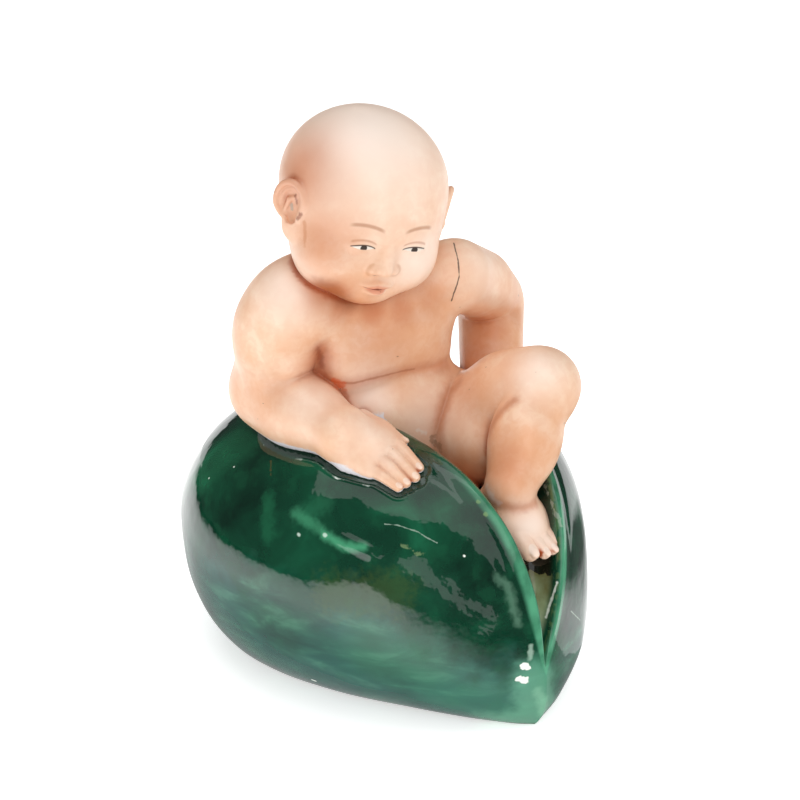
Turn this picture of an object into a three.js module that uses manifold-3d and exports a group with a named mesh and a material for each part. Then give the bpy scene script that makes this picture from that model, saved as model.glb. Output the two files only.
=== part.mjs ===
// Porcelain boy seated in a split peach: one moulded piece, fired whole.
// Millimetres, +Z up. The peach's tip points to -Y, the boy's left side is +X,
// and the origin is the middle of the flat foot, on the ground.
import * as THREE from 'three';
import { mergeVertices } from 'three/addons/utils/BufferGeometryUtils.js';
import Module from 'manifold-3d';

const wasm = await Module();
wasm.setup();

// Sizes of the facets
const bodyCell = 4.8;          // spacing of the grid that the body is worked out on
const headColumns = 40;
const headRows = 24;
const peachStations = 26;      // from the tip to the back
const peachSteps = { foot: 2, lower: 5, upper: 7, bead: 3, seat: 4 };

// The peach. Its two halves meet at the tip and at the back, and part between them.
// lipRows, from the tip to the back: y, z of the near and the far lip, how far each lip stands
// from the middle plane, the lip's radius, and the seat's depth under the lips.
const lipRows = [
  [-84.0, 26, 26, 0, 0, 0, 0.5],
  [-84.5, 46, 44, -2.4, 3.5, 1.6, 7],
  [-81.5, 62, 60, -4.2, 8, 2.3, 11],
  [-74.0, 77, 74, -6.2, 14, 2.6, 13],
  [-62.0, 89, 85, -8.2, 20, 2.8, 16],
  [-47.0, 97, 92, -10, 26, 3.0, 22],
  [-25.0, 100.5, 96, -11, 32, 3.2, 28],
  [-3.0, 100, 97, -11, 37, 3.5, 31],
  [18.0, 97.5, 96.5, -9.5, 36, 3.5, 30],
  [34.0, 95, 94.5, -4, 27, 3.0, 25],
  [41.0, 93, 93, 9, 9, 0, 21],
];
// skinRows, from the tip to the back: y, near and far half width and height of the widest level,
// then y and the near and far half width of the flat foot.
const skinRows = [
  [-85, 0, 0, 16, -79, 0, 0],
  [-81, 11, 13, 18, -73, 6, 8],
  [-71, 28, 31, 25, -60, 15, 18],
  [-52, 48, 50, 35, -42, 25, 28],
  [-26, 65, 64, 43, -20, 37, 38],
  [4, 73, 69, 48, 6, 46, 44],
  [34, 70, 65, 51, 30, 46, 42],
  [61, 54, 50, 52, 48, 35, 32],
  [77, 31, 30, 52, 57, 20, 20],
  [82, 0, 0, 52, 60, 0, 0],
];
const lowerCut = 0.86;         // the lower wall is a quarter ellipse, cut here above its own bottom
const upperPower = 2.03;       // the upper wall is a superellipse, a little fuller than an ellipse

// The boy's joints
const joint = {
  head: [-10.6, 4.5, 181.5],
  shoulderR: [-37, 14, 147], elbowR: [-36, 30.5, 107.5], wristR: [-36, -13.5, 104],
  shoulderL: [29, 0, 144], upperArmL: [47.5, 8, 133], elbowL: [60, 15, 121.5], wristL: [48, 1, 101.5],
  hipL: [22, 0, 84.5], kneeL: [34, -42, 112.5], ankleL: [7, -56, 85],
  hipR: [4, 8, 74], kneeR: [2, -34, 67], ankleR: [14, -14, 64],
};
const facing = [-0.3, -0.954, 0];
const nod = THREE.MathUtils.degToRad(11);
const lean = THREE.MathUtils.degToRad(12);
const earTurn = THREE.MathUtils.degToRad(31);

// Fingers and toes: knuckle, tip, radius at each
const fingersR = [
  [[-22.6, -25, 101.8], [-23.5, -41.1, 97.2], 2.8, 1.95],
  [[-27, -26.8, 100.6], [-26.8, -42.9, 95.2], 2.8, 2.0],
  [[-31.4, -27.4, 98.6], [-30.2, -42, 93.7], 2.8, 1.95],
  [[-35.3, -27, 95.4], [-32.8, -41, 92.4], 2.7, 1.85],
];
const thumbR = [[-23.4, -9.8, 105.2], [-19.2, -27.3, 101], 3.4, 1.9];
const fingersL = [0, 1, 2, 3].map((i) => [
  [38.5 + 2.6 * i, -14, 99.5 - 0.5 * i],
  [36.5 + 3.6 * i, -28, 97.5 - 1.4 * i], 2.8, 2.0]);
const thumbL = [[39, -4, 101], [33, -15, 98], 3.4, 2.3];
const toesL = [
  [[2.6, -65, 71.5], [2, -72.6, 67.2], 3.7, 3.3],
  [[6.8, -67.5, 71], [6.6, -75.2, 66.6], 2.7, 2.3],
  [[10, -68, 70.8], [10.2, -75.4, 67], 2.5, 2.2],
  [[13, -67.5, 70.8], [13.6, -74.4, 67.6], 2.4, 2.1],
  [[15.8, -65.5, 71.2], [16.8, -71.8, 68.4], 2.3, 2.1],
];

// Small vector sums on plain arrays
const minus = (a, b) => [a[0] - b[0], a[1] - b[1], a[2] - b[2]];
const dot = (a, b) => a[0] * b[0] + a[1] * b[1] + a[2] * b[2];
const cross = (a, b) => [a[1] * b[2] - a[2] * b[1], a[2] * b[0] - a[0] * b[2], a[0] * b[1] - a[1] * b[0]];
const size = (a) => Math.hypot(a[0], a[1], a[2]);
const unit = (a) => a.map((x) => x / size(a));
const along = (a, d, t) => [a[0] + d[0] * t, a[1] + d[1] * t, a[2] + d[2] * t];

// Three axes, right, forward and up, from a forward direction and a rough up
function axesOf(forward, up) {
  const f = unit(forward);
  const r = unit(cross(f, up));
  return [r, f, cross(r, f)];
}
const intoAxes = (p, centre, axes) => axes.map((a) => dot(minus(p, centre), a));

// Distances to simple forms, negative inside
// Two balls and the cone that touches both
function roundCone(p, a, b, ra, rb) {
  const ba = minus(b, a);
  const pa = minus(p, a);
  const l2 = dot(ba, ba);
  const rr = ra - rb;
  const a2 = l2 - rr * rr;
  const y = dot(pa, ba);
  const z = y - l2;
  const q = pa.map((v, i) => v * l2 - ba[i] * y);
  const x2 = dot(q, q);
  const y2 = y * y * l2;
  const z2 = z * z * l2;
  const k = Math.sign(rr) * rr * rr * x2;
  if (Math.sign(z) * a2 * z2 > k) return Math.sqrt(x2 + z2) / l2 - rb;
  if (Math.sign(y) * a2 * y2 < k) return Math.sqrt(x2 + y2) / l2 - ra;
  return (Math.sqrt((x2 * a2) / l2) + y * rr) / l2 - ra;
}
function ellipsoid(p, centre, radii, axes) {
  const q = axes ? intoAxes(p, centre, axes) : minus(p, centre);
  const k0 = size(q.map((v, i) => v / radii[i]));
  const k1 = size(q.map((v, i) => v / radii[i] ** 2));
  return (k0 * (k0 - 1)) / Math.max(k1, 1e-9);
}
// Join or cut with a fillet about k wide
function blend(a, b, k) {
  const h = Math.min(Math.max(0.5 + (0.5 * (b - a)) / k, 0), 1);
  return b * (1 - h) + a * h - k * h * (1 - h);
}
const carve = (a, b, k) => -blend(-a, b, k);
// Fillet width at a joint of soft flesh: tight where it folds, soft on the side that outward points to
function crease(p, centre, outward, tight, soft, span) {
  const t = Math.min(Math.max(0.5 + (0.5 * dot(minus(p, centre), unit(outward))) / span, 0), 1);
  return tight + (soft - tight) * t * t * (3 - 2 * t);
}

// The head leans and nods. Its own axes are right, forward and up.
function headAxes() {
  const level = unit(facing);
  const forward = level.map((v, i) => v * Math.cos(nod) - (i === 2 ? Math.sin(nod) : 0));
  const up = level.map((v, i) => v * Math.sin(nod) + (i === 2 ? Math.cos(nod) : 0));
  const right = cross(forward, up);
  return axesOf(forward, up.map((v, i) => v * Math.cos(lean) - right[i] * Math.sin(lean)));
}
const headFrame = headAxes();

// A calm child's face in plain proportions: the eyes at half the head's height
function headForm(p) {
  const q = intoAxes(p, joint.head, headFrame);
  const m = [Math.abs(q[0]), q[1], q[2]];
  let d = ellipsoid(q, [0, -4, 5.5], [30.4, 31, 27.5]);
  d = blend(d, ellipsoid(q, [0, 4.5, -9.5], [26, 21.5, 20.5]), 10);
  d = blend(d, ellipsoid(m, [13, 12, -15.5], [13, 11.5, 11.5]), 8);
  d = blend(d, ellipsoid(q, [0, 17.5, -24.5], [8, 6, 5.5]), 9);
  d = carve(d, ellipsoid(m, [10, 30.4, -3], [7.5, 3.6, 3.6]), 4);
  d = blend(d, ellipsoid(m, [10, 22.2, -3.6], [5.6, 4.4, 3.8]), 1.6);
  const bridge = roundCone(q, [0, 25.2, -4], [0, 27, -11.4], 1.5, 2.4);
  d = blend(d, blend(bridge, ellipsoid(m, [3, 25.6, -12.3], [2.2, 2.5, 1.7]), 1.5), 3.5);
  const lips = blend(ellipsoid(m, [1.7, 24.6, -19], [3.9, 2.4, 1.35]),
    ellipsoid(q, [0, 24.4, -21.4], [3.9, 2.5, 1.6]), 0.35);
  return blend(d, lips, 1.6);
}
const earCentre = [29.6, 4.8, -3.2];
function earForm(p, side) {
  const q = intoAxes(p, joint.head, headFrame);
  const u = minus([q[0] * side, q[1], q[2]], earCentre);
  const w = [
    u[0] * Math.cos(earTurn) + u[1] * Math.sin(earTurn),
    u[1] * Math.cos(earTurn) - u[0] * Math.sin(earTurn), u[2]];
  const plate = blend(ellipsoid(w, [-0.5, -1.6, 4.4], [2.6, 7, 8.2]),
    ellipsoid(w, [-0.2, 2.8, -3.8], [2.4, 5.8, 6.2]), 2);
  return carve(plate, ellipsoid(w, [2.6, -1, 3.6], [2.2, 4.4, 6.2]), 1);
}

function torsoForm(p) {
  let chest = ellipsoid(p, [0, 8, 127.5], [26, 19.5, 21]);
  chest = blend(chest, ellipsoid(p, [-13, 11, 119], [18, 16, 20]), 8);
  chest = blend(chest, ellipsoid(p, [12, 7, 117], [16.5, 14, 17]), 8);
  chest = blend(chest, roundCone(p, [-27, 13, 143], [18, 4, 139.5], 13.5, 13), 10);
  chest = blend(chest, roundCone(p, [-26, 16, 152], [-8, 13, 158], 9.5, 9.5), 6);
  let belly = ellipsoid(p, [5.5, 4, 97], [27, 21.5, 20]);
  belly = blend(belly, ellipsoid(p, [0.5, 7.5, 102.5], [27, 19, 15]), 8);
  belly = blend(belly, ellipsoid(p, [13, 6, 88], [27, 22, 19]), 8);
  belly = blend(belly, ellipsoid(p, [16, 14, 80], [27, 22, 20]), 8);
  const front = blend(chest, belly, crease(p, [0, 6, 107], [0, 1, 0], 2, 12, 14));
  const back = blend(front, roundCone(p, [-1, 15, 134], [12, 17, 92], 16, 19), 9);
  return blend(back, roundCone(p, [-3, 8, 140], [-6, 9, 158], 11.5, 11), 5);
}
function rightArmForm(p) {
  let upper = roundCone(p, joint.shoulderR, joint.elbowR, 14.6, 12);
  upper = blend(upper, ellipsoid(p, [-39, 20, 133], [15.5, 15.5, 20]), 8);
  let fore = roundCone(p, [-35.5, 28.5, 107], joint.wristR, 12, 10.6);
  fore = blend(fore, ellipsoid(p, [-36.8, 14, 105.6], [13.8, 20, 14.8]), 8);
  return blend(upper, fore, crease(p, [-40, 22, 113], [-0.9, 0.35, -0.3], 1, 10, 9));
}
const palmAxes = axesOf([0.05, -1, -0.2], [-0.38, -0.15, 0.91]);
function rightHandForm(p) {
  let hand = roundCone(p, joint.wristR, [-30, -21, 102.2], 10.2, 6.6);
  hand = blend(hand, ellipsoid(p, [-29.8, -19.8, 101.4], [11, 11.5, 5.4], palmAxes), 3);
  return blend(hand, roundCone(p, [-36.3, -19, 96.8], [-35.6, -29, 95.2], 6.2, 3.2), 3);
}
function leftArmForm(p) {
  const upper = Math.min(roundCone(p, joint.shoulderL, joint.upperArmL, 13.6, 12.9),
    roundCone(p, joint.upperArmL, joint.elbowL, 12.9, 12.2));
  const fore = roundCone(p, [60, 15, 118.5], joint.wristL, 12.6, 11.8);
  return blend(blend(upper, fore, 0.8), roundCone(p, joint.wristL, [42, -10, 100], 8, 5.5), 2);
}
function leftLegForm(p) {
  let thigh = roundCone(p, joint.hipL, joint.kneeL, 18, 12.8);
  thigh = blend(thigh, ellipsoid(p, [19.5, -23.5, 88.5], [16, 19, 17]), 8);
  thigh = blend(thigh, ellipsoid(p, [30, -30, 108], [14.5, 15.5, 14]), 7);
  let calf = roundCone(p, joint.kneeL, joint.ankleL, 12, 9.4);
  calf = blend(calf, ellipsoid(p, [19.5, -50, 98], [11.8, 11.5, 15]), 9);
  return blend(thigh, calf, crease(p, [31, -38, 110], [0.6, -0.5, 1], 2.5, 9, 7));
}
const soleAxes = axesOf([0.06, -0.93, -0.35], [0.05, -0.35, 0.93]);
function leftFootForm(p) {
  const instep = blend(roundCone(p, [8, -50, 77], [9, -64, 72], 8.5, 5.5),
    roundCone(p, joint.ankleL, [8.5, -57, 78], 9.2, 8.2), 4);
  return blend(instep, ellipsoid(p, [9, -61, 72.5], [10.5, 11, 5.5], soleAxes), 4);
}
// The right leg is folded low in the peach
function rightLegForm(p) {
  const thigh = roundCone(p, joint.hipR, joint.kneeR, 17, 12);
  return blend(thigh, roundCone(p, joint.kneeR, joint.ankleR, 11, 8), 1.6);
}
function bodyForm(p) {
  let d = torsoForm(p);
  d = blend(d, rightArmForm(p), crease(p, [-27, 8, 136], [-0.1, 0.6, 1], 5, 11, 14));
  d = blend(d, leftArmForm(p), crease(p, [27, 0, 132], [0, 0.4, 1], 4, 10, 10));
  d = blend(d, rightHandForm(p), 5);
  d = blend(d, leftLegForm(p), crease(p, [24, -2, 98], [1, 0.4, -0.3], 5, 9, 12));
  d = blend(d, leftFootForm(p), 3);
  return blend(d, rightLegForm(p), 9);
}

function slopeOf(form, p) {
  const e = 0.05;
  return [0, 1, 2].map((i) => {
    const a = p.slice();
    const b = p.slice();
    a[i] += e;
    b[i] -= e;
    return (form(a) - form(b)) / (2 * e);
  });
}
// One or two steps down the slope bring a point onto the form's skin
function ontoSkin(form, p, steps, reach) {
  let q = p;
  for (let s = 0; s < steps; s += 1) {
    const g = slopeOf(form, q);
    const t = form(q) / Math.max(dot(g, g), 0.2);
    q = along(q, g, -Math.min(Math.max(t, -reach), reach));
  }
  return q;
}

function geometryOf(points, faces) {
  const g = new THREE.BufferGeometry();
  g.setAttribute('position', new THREE.Float32BufferAttribute(points.flat(), 3));
  g.setIndex(faces.flat());
  return g;
}

// A closed skin over a form: one vertex in each grid cell that the form's surface crosses,
// one quad round each grid edge that it crosses
function skinOver(form, low, high, cell) {
  const n = low.map((v, i) => Math.ceil((high[i] - v) / cell) + 1);
  const at = (i, j, k) => (i * n[1] + j) * n[2] + k;
  const where = (i, j, k) => [low[0] + i * cell, low[1] + j * cell, low[2] + k * cell];
  const value = new Float64Array(n[0] * n[1] * n[2]);
  for (let i = 0; i < n[0]; i += 1)
    for (let j = 0; j < n[1]; j += 1)
      for (let k = 0; k < n[2]; k += 1) value[at(i, j, k)] = form(where(i, j, k));
  const corners = [0, 1, 2, 3, 4, 5, 6, 7].map((c) => [c & 1, (c >> 1) & 1, (c >> 2) & 1]);
  const edges = [];
  corners.forEach((a) => [0, 1, 2].forEach((axis) => {
    if (a[axis]) return;
    const b = a.slice();
    b[axis] = 1;
    edges.push([a, b]);
  }));
  const points = [];
  const cellPoint = new Int32Array(value.length).fill(-1);
  for (let i = 0; i < n[0] - 1; i += 1)
    for (let j = 0; j < n[1] - 1; j += 1)
      for (let k = 0; k < n[2] - 1; k += 1) {
        const sum = [0, 0, 0];
        let count = 0;
        for (const [a, b] of edges) {
          const va = value[at(i + a[0], j + a[1], k + a[2])];
          const vb = value[at(i + b[0], j + b[1], k + b[2])];
          if (va < 0 === vb < 0) continue;
          const t = va / (va - vb);
          [0, 1, 2].forEach((x) => { sum[x] += a[x] + (b[x] - a[x]) * t; });
          count += 1;
        }
        if (!count) continue;
        const middle = [i, j, k].map((v, x) => low[x] + (v + sum[x] / count) * cell);
        cellPoint[at(i, j, k)] = points.length;
        points.push(ontoSkin(form, middle, 2, cell / 2));
      }
  const faces = [];
  const step = [[1, 0, 0], [0, 1, 0], [0, 0, 1]];
  for (let i = 1; i < n[0] - 1; i += 1)
    for (let j = 1; j < n[1] - 1; j += 1)
      for (let k = 1; k < n[2] - 1; k += 1)
        for (let axis = 0; axis < 3; axis += 1) {
          const here = value[at(i, j, k)] < 0;
          const s = step[axis];
          if (here === value[at(i + s[0], j + s[1], k + s[2])] < 0) continue;
          const u = step[(axis + 1) % 3];
          const w = step[(axis + 2) % 3];
          const [a, b, c, d] = [[1, 1], [0, 1], [0, 0], [1, 0]].map(([x, y]) => cellPoint[
            at(i - x * u[0] - y * w[0], j - x * u[1] - y * w[1], k - x * u[2] - y * w[2])]);
          const short = size(minus(points[a], points[c])) < size(minus(points[b], points[d]));
          const pair = short ? [[a, b, c], [a, c, d]] : [[a, b, d], [b, c, d]];
          pair.forEach((f) => faces.push(here ? f : f.slice().reverse()));
        }
  return geometryOf(points, faces);
}

// A ball whose vertices are sent out, each along its own ray, to the form's skin.
// bunch draws the rays together round the axes' forward direction.
function wrapOver(form, centre, axes, columns, rows, reach, bunch) {
  const g = new THREE.SphereGeometry(1, columns, rows);
  const pos = g.attributes.position;
  for (let i = 0; i < pos.count; i += 1) {
    const local = [pos.getX(i), -pos.getZ(i), pos.getY(i)];
    local[1] += bunch;
    const ray = unit([0, 1, 2].map((x) => axes.reduce((s, a, k) => s + a[x] * local[k], 0)));
    let inner = 0;
    let outer = reach;
    for (let s = 0; s < 24; s += 1) {
      const mid = (inner + outer) / 2;
      if (form(along(centre, ray, mid)) < 0) inner = mid;
      else outer = mid;
    }
    pos.setXYZ(i, ...along(centre, ray, inner));
  }
  return g;
}

// A finger or toe: a turned profile, two quarter circles and a straight side, laid from a to b
function digit([a, b, ra, rb]) {
  const length = size(minus(b, a));
  const profile = [];
  for (let i = 0; i <= 2; i += 1) {
    const t = (Math.PI / 4) * i;
    profile.push(new THREE.Vector2(i ? ra * Math.sin(t) : 0, -ra * Math.cos(t)));
  }
  for (let i = 0; i <= 3; i += 1) {
    const t = (Math.PI / 6) * i;
    profile.push(new THREE.Vector2(i < 3 ? rb * Math.cos(t) : 0, length + rb * Math.sin(t)));
  }
  const g = new THREE.LatheGeometry(profile, 6);
  const turn = new THREE.Quaternion().setFromUnitVectors(
    new THREE.Vector3(0, 1, 0), new THREE.Vector3(...unit(minus(b, a))));
  g.applyQuaternion(turn);
  g.translate(...a);
  return g;
}

// A smooth curve through a table's rows, t from 0 to 1
function through(rows, t) {
  const x = t * (rows.length - 1);
  const i = Math.min(Math.floor(x), rows.length - 2);
  const f = x - i;
  const b = rows[i];
  const c = rows[i + 1];
  const a = rows[i - 1] || b.map((v, k) => 2 * v - c[k]);
  const d = rows[i + 2] || c.map((v, k) => 2 * v - b[k]);
  return b.map((v, k) => 0.5 * (2 * v + (c[k] - a[k]) * f
    + (2 * a[k] - 5 * v + 4 * c[k] - d[k]) * f * f
    + (3 * v - a[k] - 3 * c[k] + d[k]) * f ** 3));
}

// Half of a station's loop: foot, lower wall, upper wall, rolled lip, seat
function halfLoop(t, side) {
  const column = side < 0 ? 0 : 1;
  const read = (s) => {
    const row = through(lipRows, s);
    return { y: row[0], z: row[1 + column], middle: (row[1] + row[2]) / 2 };
  };
  const [y, zNear, zFar, xNear, xFar, bead, depth] = through(lipRows, t);
  const [skinY, wideNear, wideFar, wideZ, footY, footNear, footFar] = through(skinRows, t);
  const e = 0.004;
  const s0 = Math.max(t - e, 0);
  const s1 = Math.min(t + e, 1);
  const before = read(s0);
  const after = read(s1);
  // down into the fruit, square to the lip as seen from the side
  const run = [after.y - before.y, after.z - before.z];
  const down = [0, run[1] / Math.hypot(...run), -run[0] / Math.hypot(...run)];
  const seatRun = [after.y - before.y, after.middle - before.middle];
  const seatLength = Math.hypot(...seatRun);
  const lip = [side < 0 ? xNear : xFar, y, side < 0 ? zNear : zFar];
  const top = [lip[0] + side * bead, lip[1], lip[2]];
  const wide = [side * Math.max(side < 0 ? wideNear : wideFar, 0), skinY, wideZ];
  const foot = [side * Math.max(side < 0 ? footNear : footFar, 0), footY, 0];
  const seat = [(xNear + xFar) / 2,
    y + (depth * seatRun[1]) / seatLength, (zNear + zFar) / 2 - (depth * seatRun[0]) / seatLength];
  const loop = [];
  for (let i = 0; i < peachSteps.foot; i += 1) {
    loop.push([(foot[0] * i) / peachSteps.foot, footY, 0]);
  }
  const cut = Math.asin(lowerCut);
  for (let i = 0; i < peachSteps.lower; i += 1) {
    const a = cut * (1 - i / peachSteps.lower);
    const h = (1 - Math.cos(a)) / (1 - Math.cos(cut));
    const p = along(wide, minus(foot, wide), h);
    loop.push([p[0], p[1], wideZ * (1 - Math.sin(a) / lowerCut)]);
  }
  for (let i = 0; i < peachSteps.upper; i += 1) {
    const a = ((Math.PI / 2) * i) / peachSteps.upper;
    const p = along(wide, minus(top, wide), 1 - Math.cos(a) ** (2 / upperPower));
    loop.push([p[0], p[1], wideZ + (top[2] - wideZ) * Math.sin(a) ** (2 / upperPower)]);
  }
  const beadCentre = along(top, down, bead);
  for (let i = 0; i < peachSteps.bead; i += 1) {
    const a = ((Math.PI / 2) * i) / peachSteps.bead;
    const p = along(beadCentre, down, -bead * Math.cos(a));
    loop.push([p[0] - side * bead * Math.sin(a), p[1], p[2]]);
  }
  const wall = [beadCentre[0] - side * bead, beadCentre[1], beadCentre[2]];
  for (let i = 0; i <= peachSteps.seat; i += 1) {
    const a = ((Math.PI / 2) * i) / peachSteps.seat;
    const p = along(wall, minus(seat, wall), Math.sin(a));
    loop.push([wall[0] + (seat[0] - wall[0]) * (1 - Math.cos(a)), p[1], p[2]]);
  }
  return loop;
}

function peachSkin() {
  const points = [];
  const faces = [];
  let round = 0;
  for (let s = 0; s < peachStations; s += 1) {
    const t = s / (peachStations - 1);
    const near = halfLoop(t, -1);
    const far = halfLoop(t, 1).reverse().slice(1, -1);
    const loop = near.concat(far);
    round = loop.length;
    points.push(...loop);
  }
  for (let s = 0; s < peachStations - 1; s += 1)
    for (let i = 0; i < round; i += 1) {
      const a = s * round + i;
      const b = s * round + ((i + 1) % round);
      faces.push([a, b, b + round], [a, b + round, a + round]);
    }
  return geometryOf(points, faces);
}

function solidOf(geometry) {
  const bare = geometry.clone();
  bare.deleteAttribute('normal');
  bare.deleteAttribute('uv');
  const joined = mergeVertices(bare, 1e-3);
  const index = joined.index.array;
  const kept = [];
  for (let i = 0; i < index.length; i += 3) {
    const [a, b, c] = [index[i], index[i + 1], index[i + 2]];
    if (a !== b && b !== c && c !== a) kept.push(a, b, c);
  }
  return new wasm.Manifold(new wasm.Mesh({
    numProp: 3, vertProperties: joined.attributes.position.array, triVerts: Uint32Array.from(kept) }));
}

function geometryOfSolid(solid) {
  const { vertProperties, triVerts } = solid.getMesh();
  const g = new THREE.BufferGeometry();
  g.setAttribute('position', new THREE.Float32BufferAttribute(vertProperties, 3));
  g.setIndex(new THREE.Uint32BufferAttribute(triVerts, 1));
  g.computeVertexNormals();
  return g;
}

const headCentre = joint.head;
const earPlace = (side) => headFrame.reduce(
  (p, a, k) => along(p, a, k === 0 ? side * (earCentre[0] - 1.2) : earCentre[k]), joint.head);

let figure = solidOf(peachSkin());
const forms = [
  skinOver(bodyForm, [-60, -79, 47.5], [82, 54, 176], bodyCell),
  wrapOver(headForm, headCentre, headFrame, headColumns, headRows, 60, 0.6),
  wrapOver((p) => earForm(p, 1), earPlace(1), headFrame, 12, 10, 20, 0),
  wrapOver((p) => earForm(p, -1), earPlace(-1), headFrame, 12, 10, 20, 0),
  ...[...fingersR, thumbR, ...fingersL, thumbL, ...toesL].map(digit),
];
for (const form of forms) figure = figure.add(solidOf(form));

const glaze = new THREE.MeshStandardMaterial({ color: 0x1f6b48, roughness: 0.15, metalness: 0 });
const group = new THREE.Group();
const mesh = new THREE.Mesh(geometryOfSolid(figure), glaze);
mesh.name = 'boy_on_peach';
group.add(mesh);

export default group;
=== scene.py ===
# Porcelain boy and peach figure: a bald child sits in a split peach, moulded and fired as one piece.
# The child's skin is painted with flesh enamel, and the peach is dipped in an emerald lead glaze.
import math

import bpy
import numpy as np
from mathutils import Matrix


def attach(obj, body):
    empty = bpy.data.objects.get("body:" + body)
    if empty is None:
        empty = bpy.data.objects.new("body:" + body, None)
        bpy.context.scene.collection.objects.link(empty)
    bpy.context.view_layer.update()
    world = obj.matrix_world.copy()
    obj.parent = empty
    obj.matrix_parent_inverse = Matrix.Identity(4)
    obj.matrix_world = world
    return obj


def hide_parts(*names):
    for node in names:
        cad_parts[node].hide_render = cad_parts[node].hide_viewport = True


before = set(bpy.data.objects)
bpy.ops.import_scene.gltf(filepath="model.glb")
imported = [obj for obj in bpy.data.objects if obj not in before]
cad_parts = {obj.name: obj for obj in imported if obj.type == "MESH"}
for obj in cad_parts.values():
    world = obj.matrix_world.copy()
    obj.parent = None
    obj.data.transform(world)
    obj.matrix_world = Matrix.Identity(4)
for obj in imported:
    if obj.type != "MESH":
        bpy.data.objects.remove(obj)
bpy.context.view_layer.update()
mm = 0.001                                   # the forms below are worked out in millimetres
scene = bpy.context.scene


# Forms: each takes points, a row of x, y, z each, and gives their distance from a skin, less than 0 inside

def point(*xyz):
    return np.array(xyz, float)


def unit(v):
    return point(*v) / np.linalg.norm(v)


# A tapered limb: the hull of a ball at a and a ball at b
def limb(p, a, b, ra, rb):
    a, b = point(*a), point(*b)
    along = b - a
    length2 = along @ along
    thinner = ra - rb
    slant2 = length2 - thinner * thinner
    fromA = p - a
    y = fromA @ along
    z = y - length2
    x2 = ((fromA * length2 - y[:, None] * along) ** 2).sum(1)
    y2, z2 = y * y * length2, z * z * length2
    k = np.sign(thinner) * thinner * thinner * x2
    side = (np.sqrt(x2 * slant2 / length2) + y * thinner) / length2 - ra
    side = np.where(np.sign(y) * slant2 * y2 < k, np.sqrt(x2 + y2) / length2 - ra, side)
    return np.where(np.sign(z) * slant2 * z2 > k, np.sqrt(x2 + z2) / length2 - rb, side)


# An egg: the distance from an ellipsoid, close to true near its skin; axes has its own axes as columns
def egg(p, centre, radii, axes=None):
    q = p - point(*centre)
    if axes is not None:
        q = q @ axes
    r = point(*radii)
    k0 = np.linalg.norm(q / r, axis=1)
    k1 = np.linalg.norm(q / (r * r), axis=1)
    return k0 * (k0 - 1) / np.maximum(k1, 1e-9)


# A ring of round section that lies in the local y, z plane: its middle line is an ellipse
def ring(p, centre, radii, thick):
    q = p - point(*centre)
    r = np.hypot(q[:, 1] / radii[0], q[:, 2] / radii[1])
    mean = np.hypot(q[:, 1], q[:, 2]) / np.maximum(r, 1e-6)
    return np.hypot((r - 1) * mean, q[:, 0]) - thick


# Joins two forms with a fillet about as wide as k
def melt(a, b, k):
    h = np.clip(0.5 + 0.5 * (b - a) / k, 0, 1)
    return b * (1 - h) + a * h - k * h * (1 - h)


# Cuts form b out of form a with a rounded edge
def carve(a, b, k):
    return -melt(-a, b, k)


# Fillet width of a joint of soft flesh: tight on its inner side, where it creases, and soft outward
def crease(p, centre, outward, tight, soft, span):
    t = np.clip(((p - point(*centre)) @ unit(outward)) / span * 0.5 + 0.5, 0, 1)
    return tight + (soft - tight) * t * t * (3 - 2 * t)


# Axes for a turned form, as columns: right, forward, up
def turned(forward, up):
    f = unit(forward)
    r = unit(np.cross(f, point(*up)))
    return np.stack([r, f, np.cross(r, f)], axis=1)


# Works a form out within reach of a centre; farther points get a distance that no fillet notices
def near(p, centre, reach, form):
    away = np.linalg.norm(p - point(*centre), axis=1)
    close = away < reach
    d = away - reach + 20
    if close.any():
        d[close] = form(p[close])
    return d


# Smooth lumps: random heights on a square lattice, eased between lattice points, -1 to 1
def lumps(p, size, seed):
    table = np.random.default_rng(seed).uniform(-1, 1, (32, 32, 32))
    q = p / size
    i = np.floor(q).astype(int)
    f = q - i
    f = f * f * (3 - 2 * f)
    total = 0
    for x in (0, 1):
        for y in (0, 1):
            for z in (0, 1):
                share = (f[:, 0] if x else 1 - f[:, 0]) * (f[:, 1] if y else 1 - f[:, 1])
                share = share * (f[:, 2] if z else 1 - f[:, 2])
                total = total + share * table[(i[:, 0] + x) % 32, (i[:, 1] + y) % 32, (i[:, 2] + z) % 32]
    return total


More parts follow.
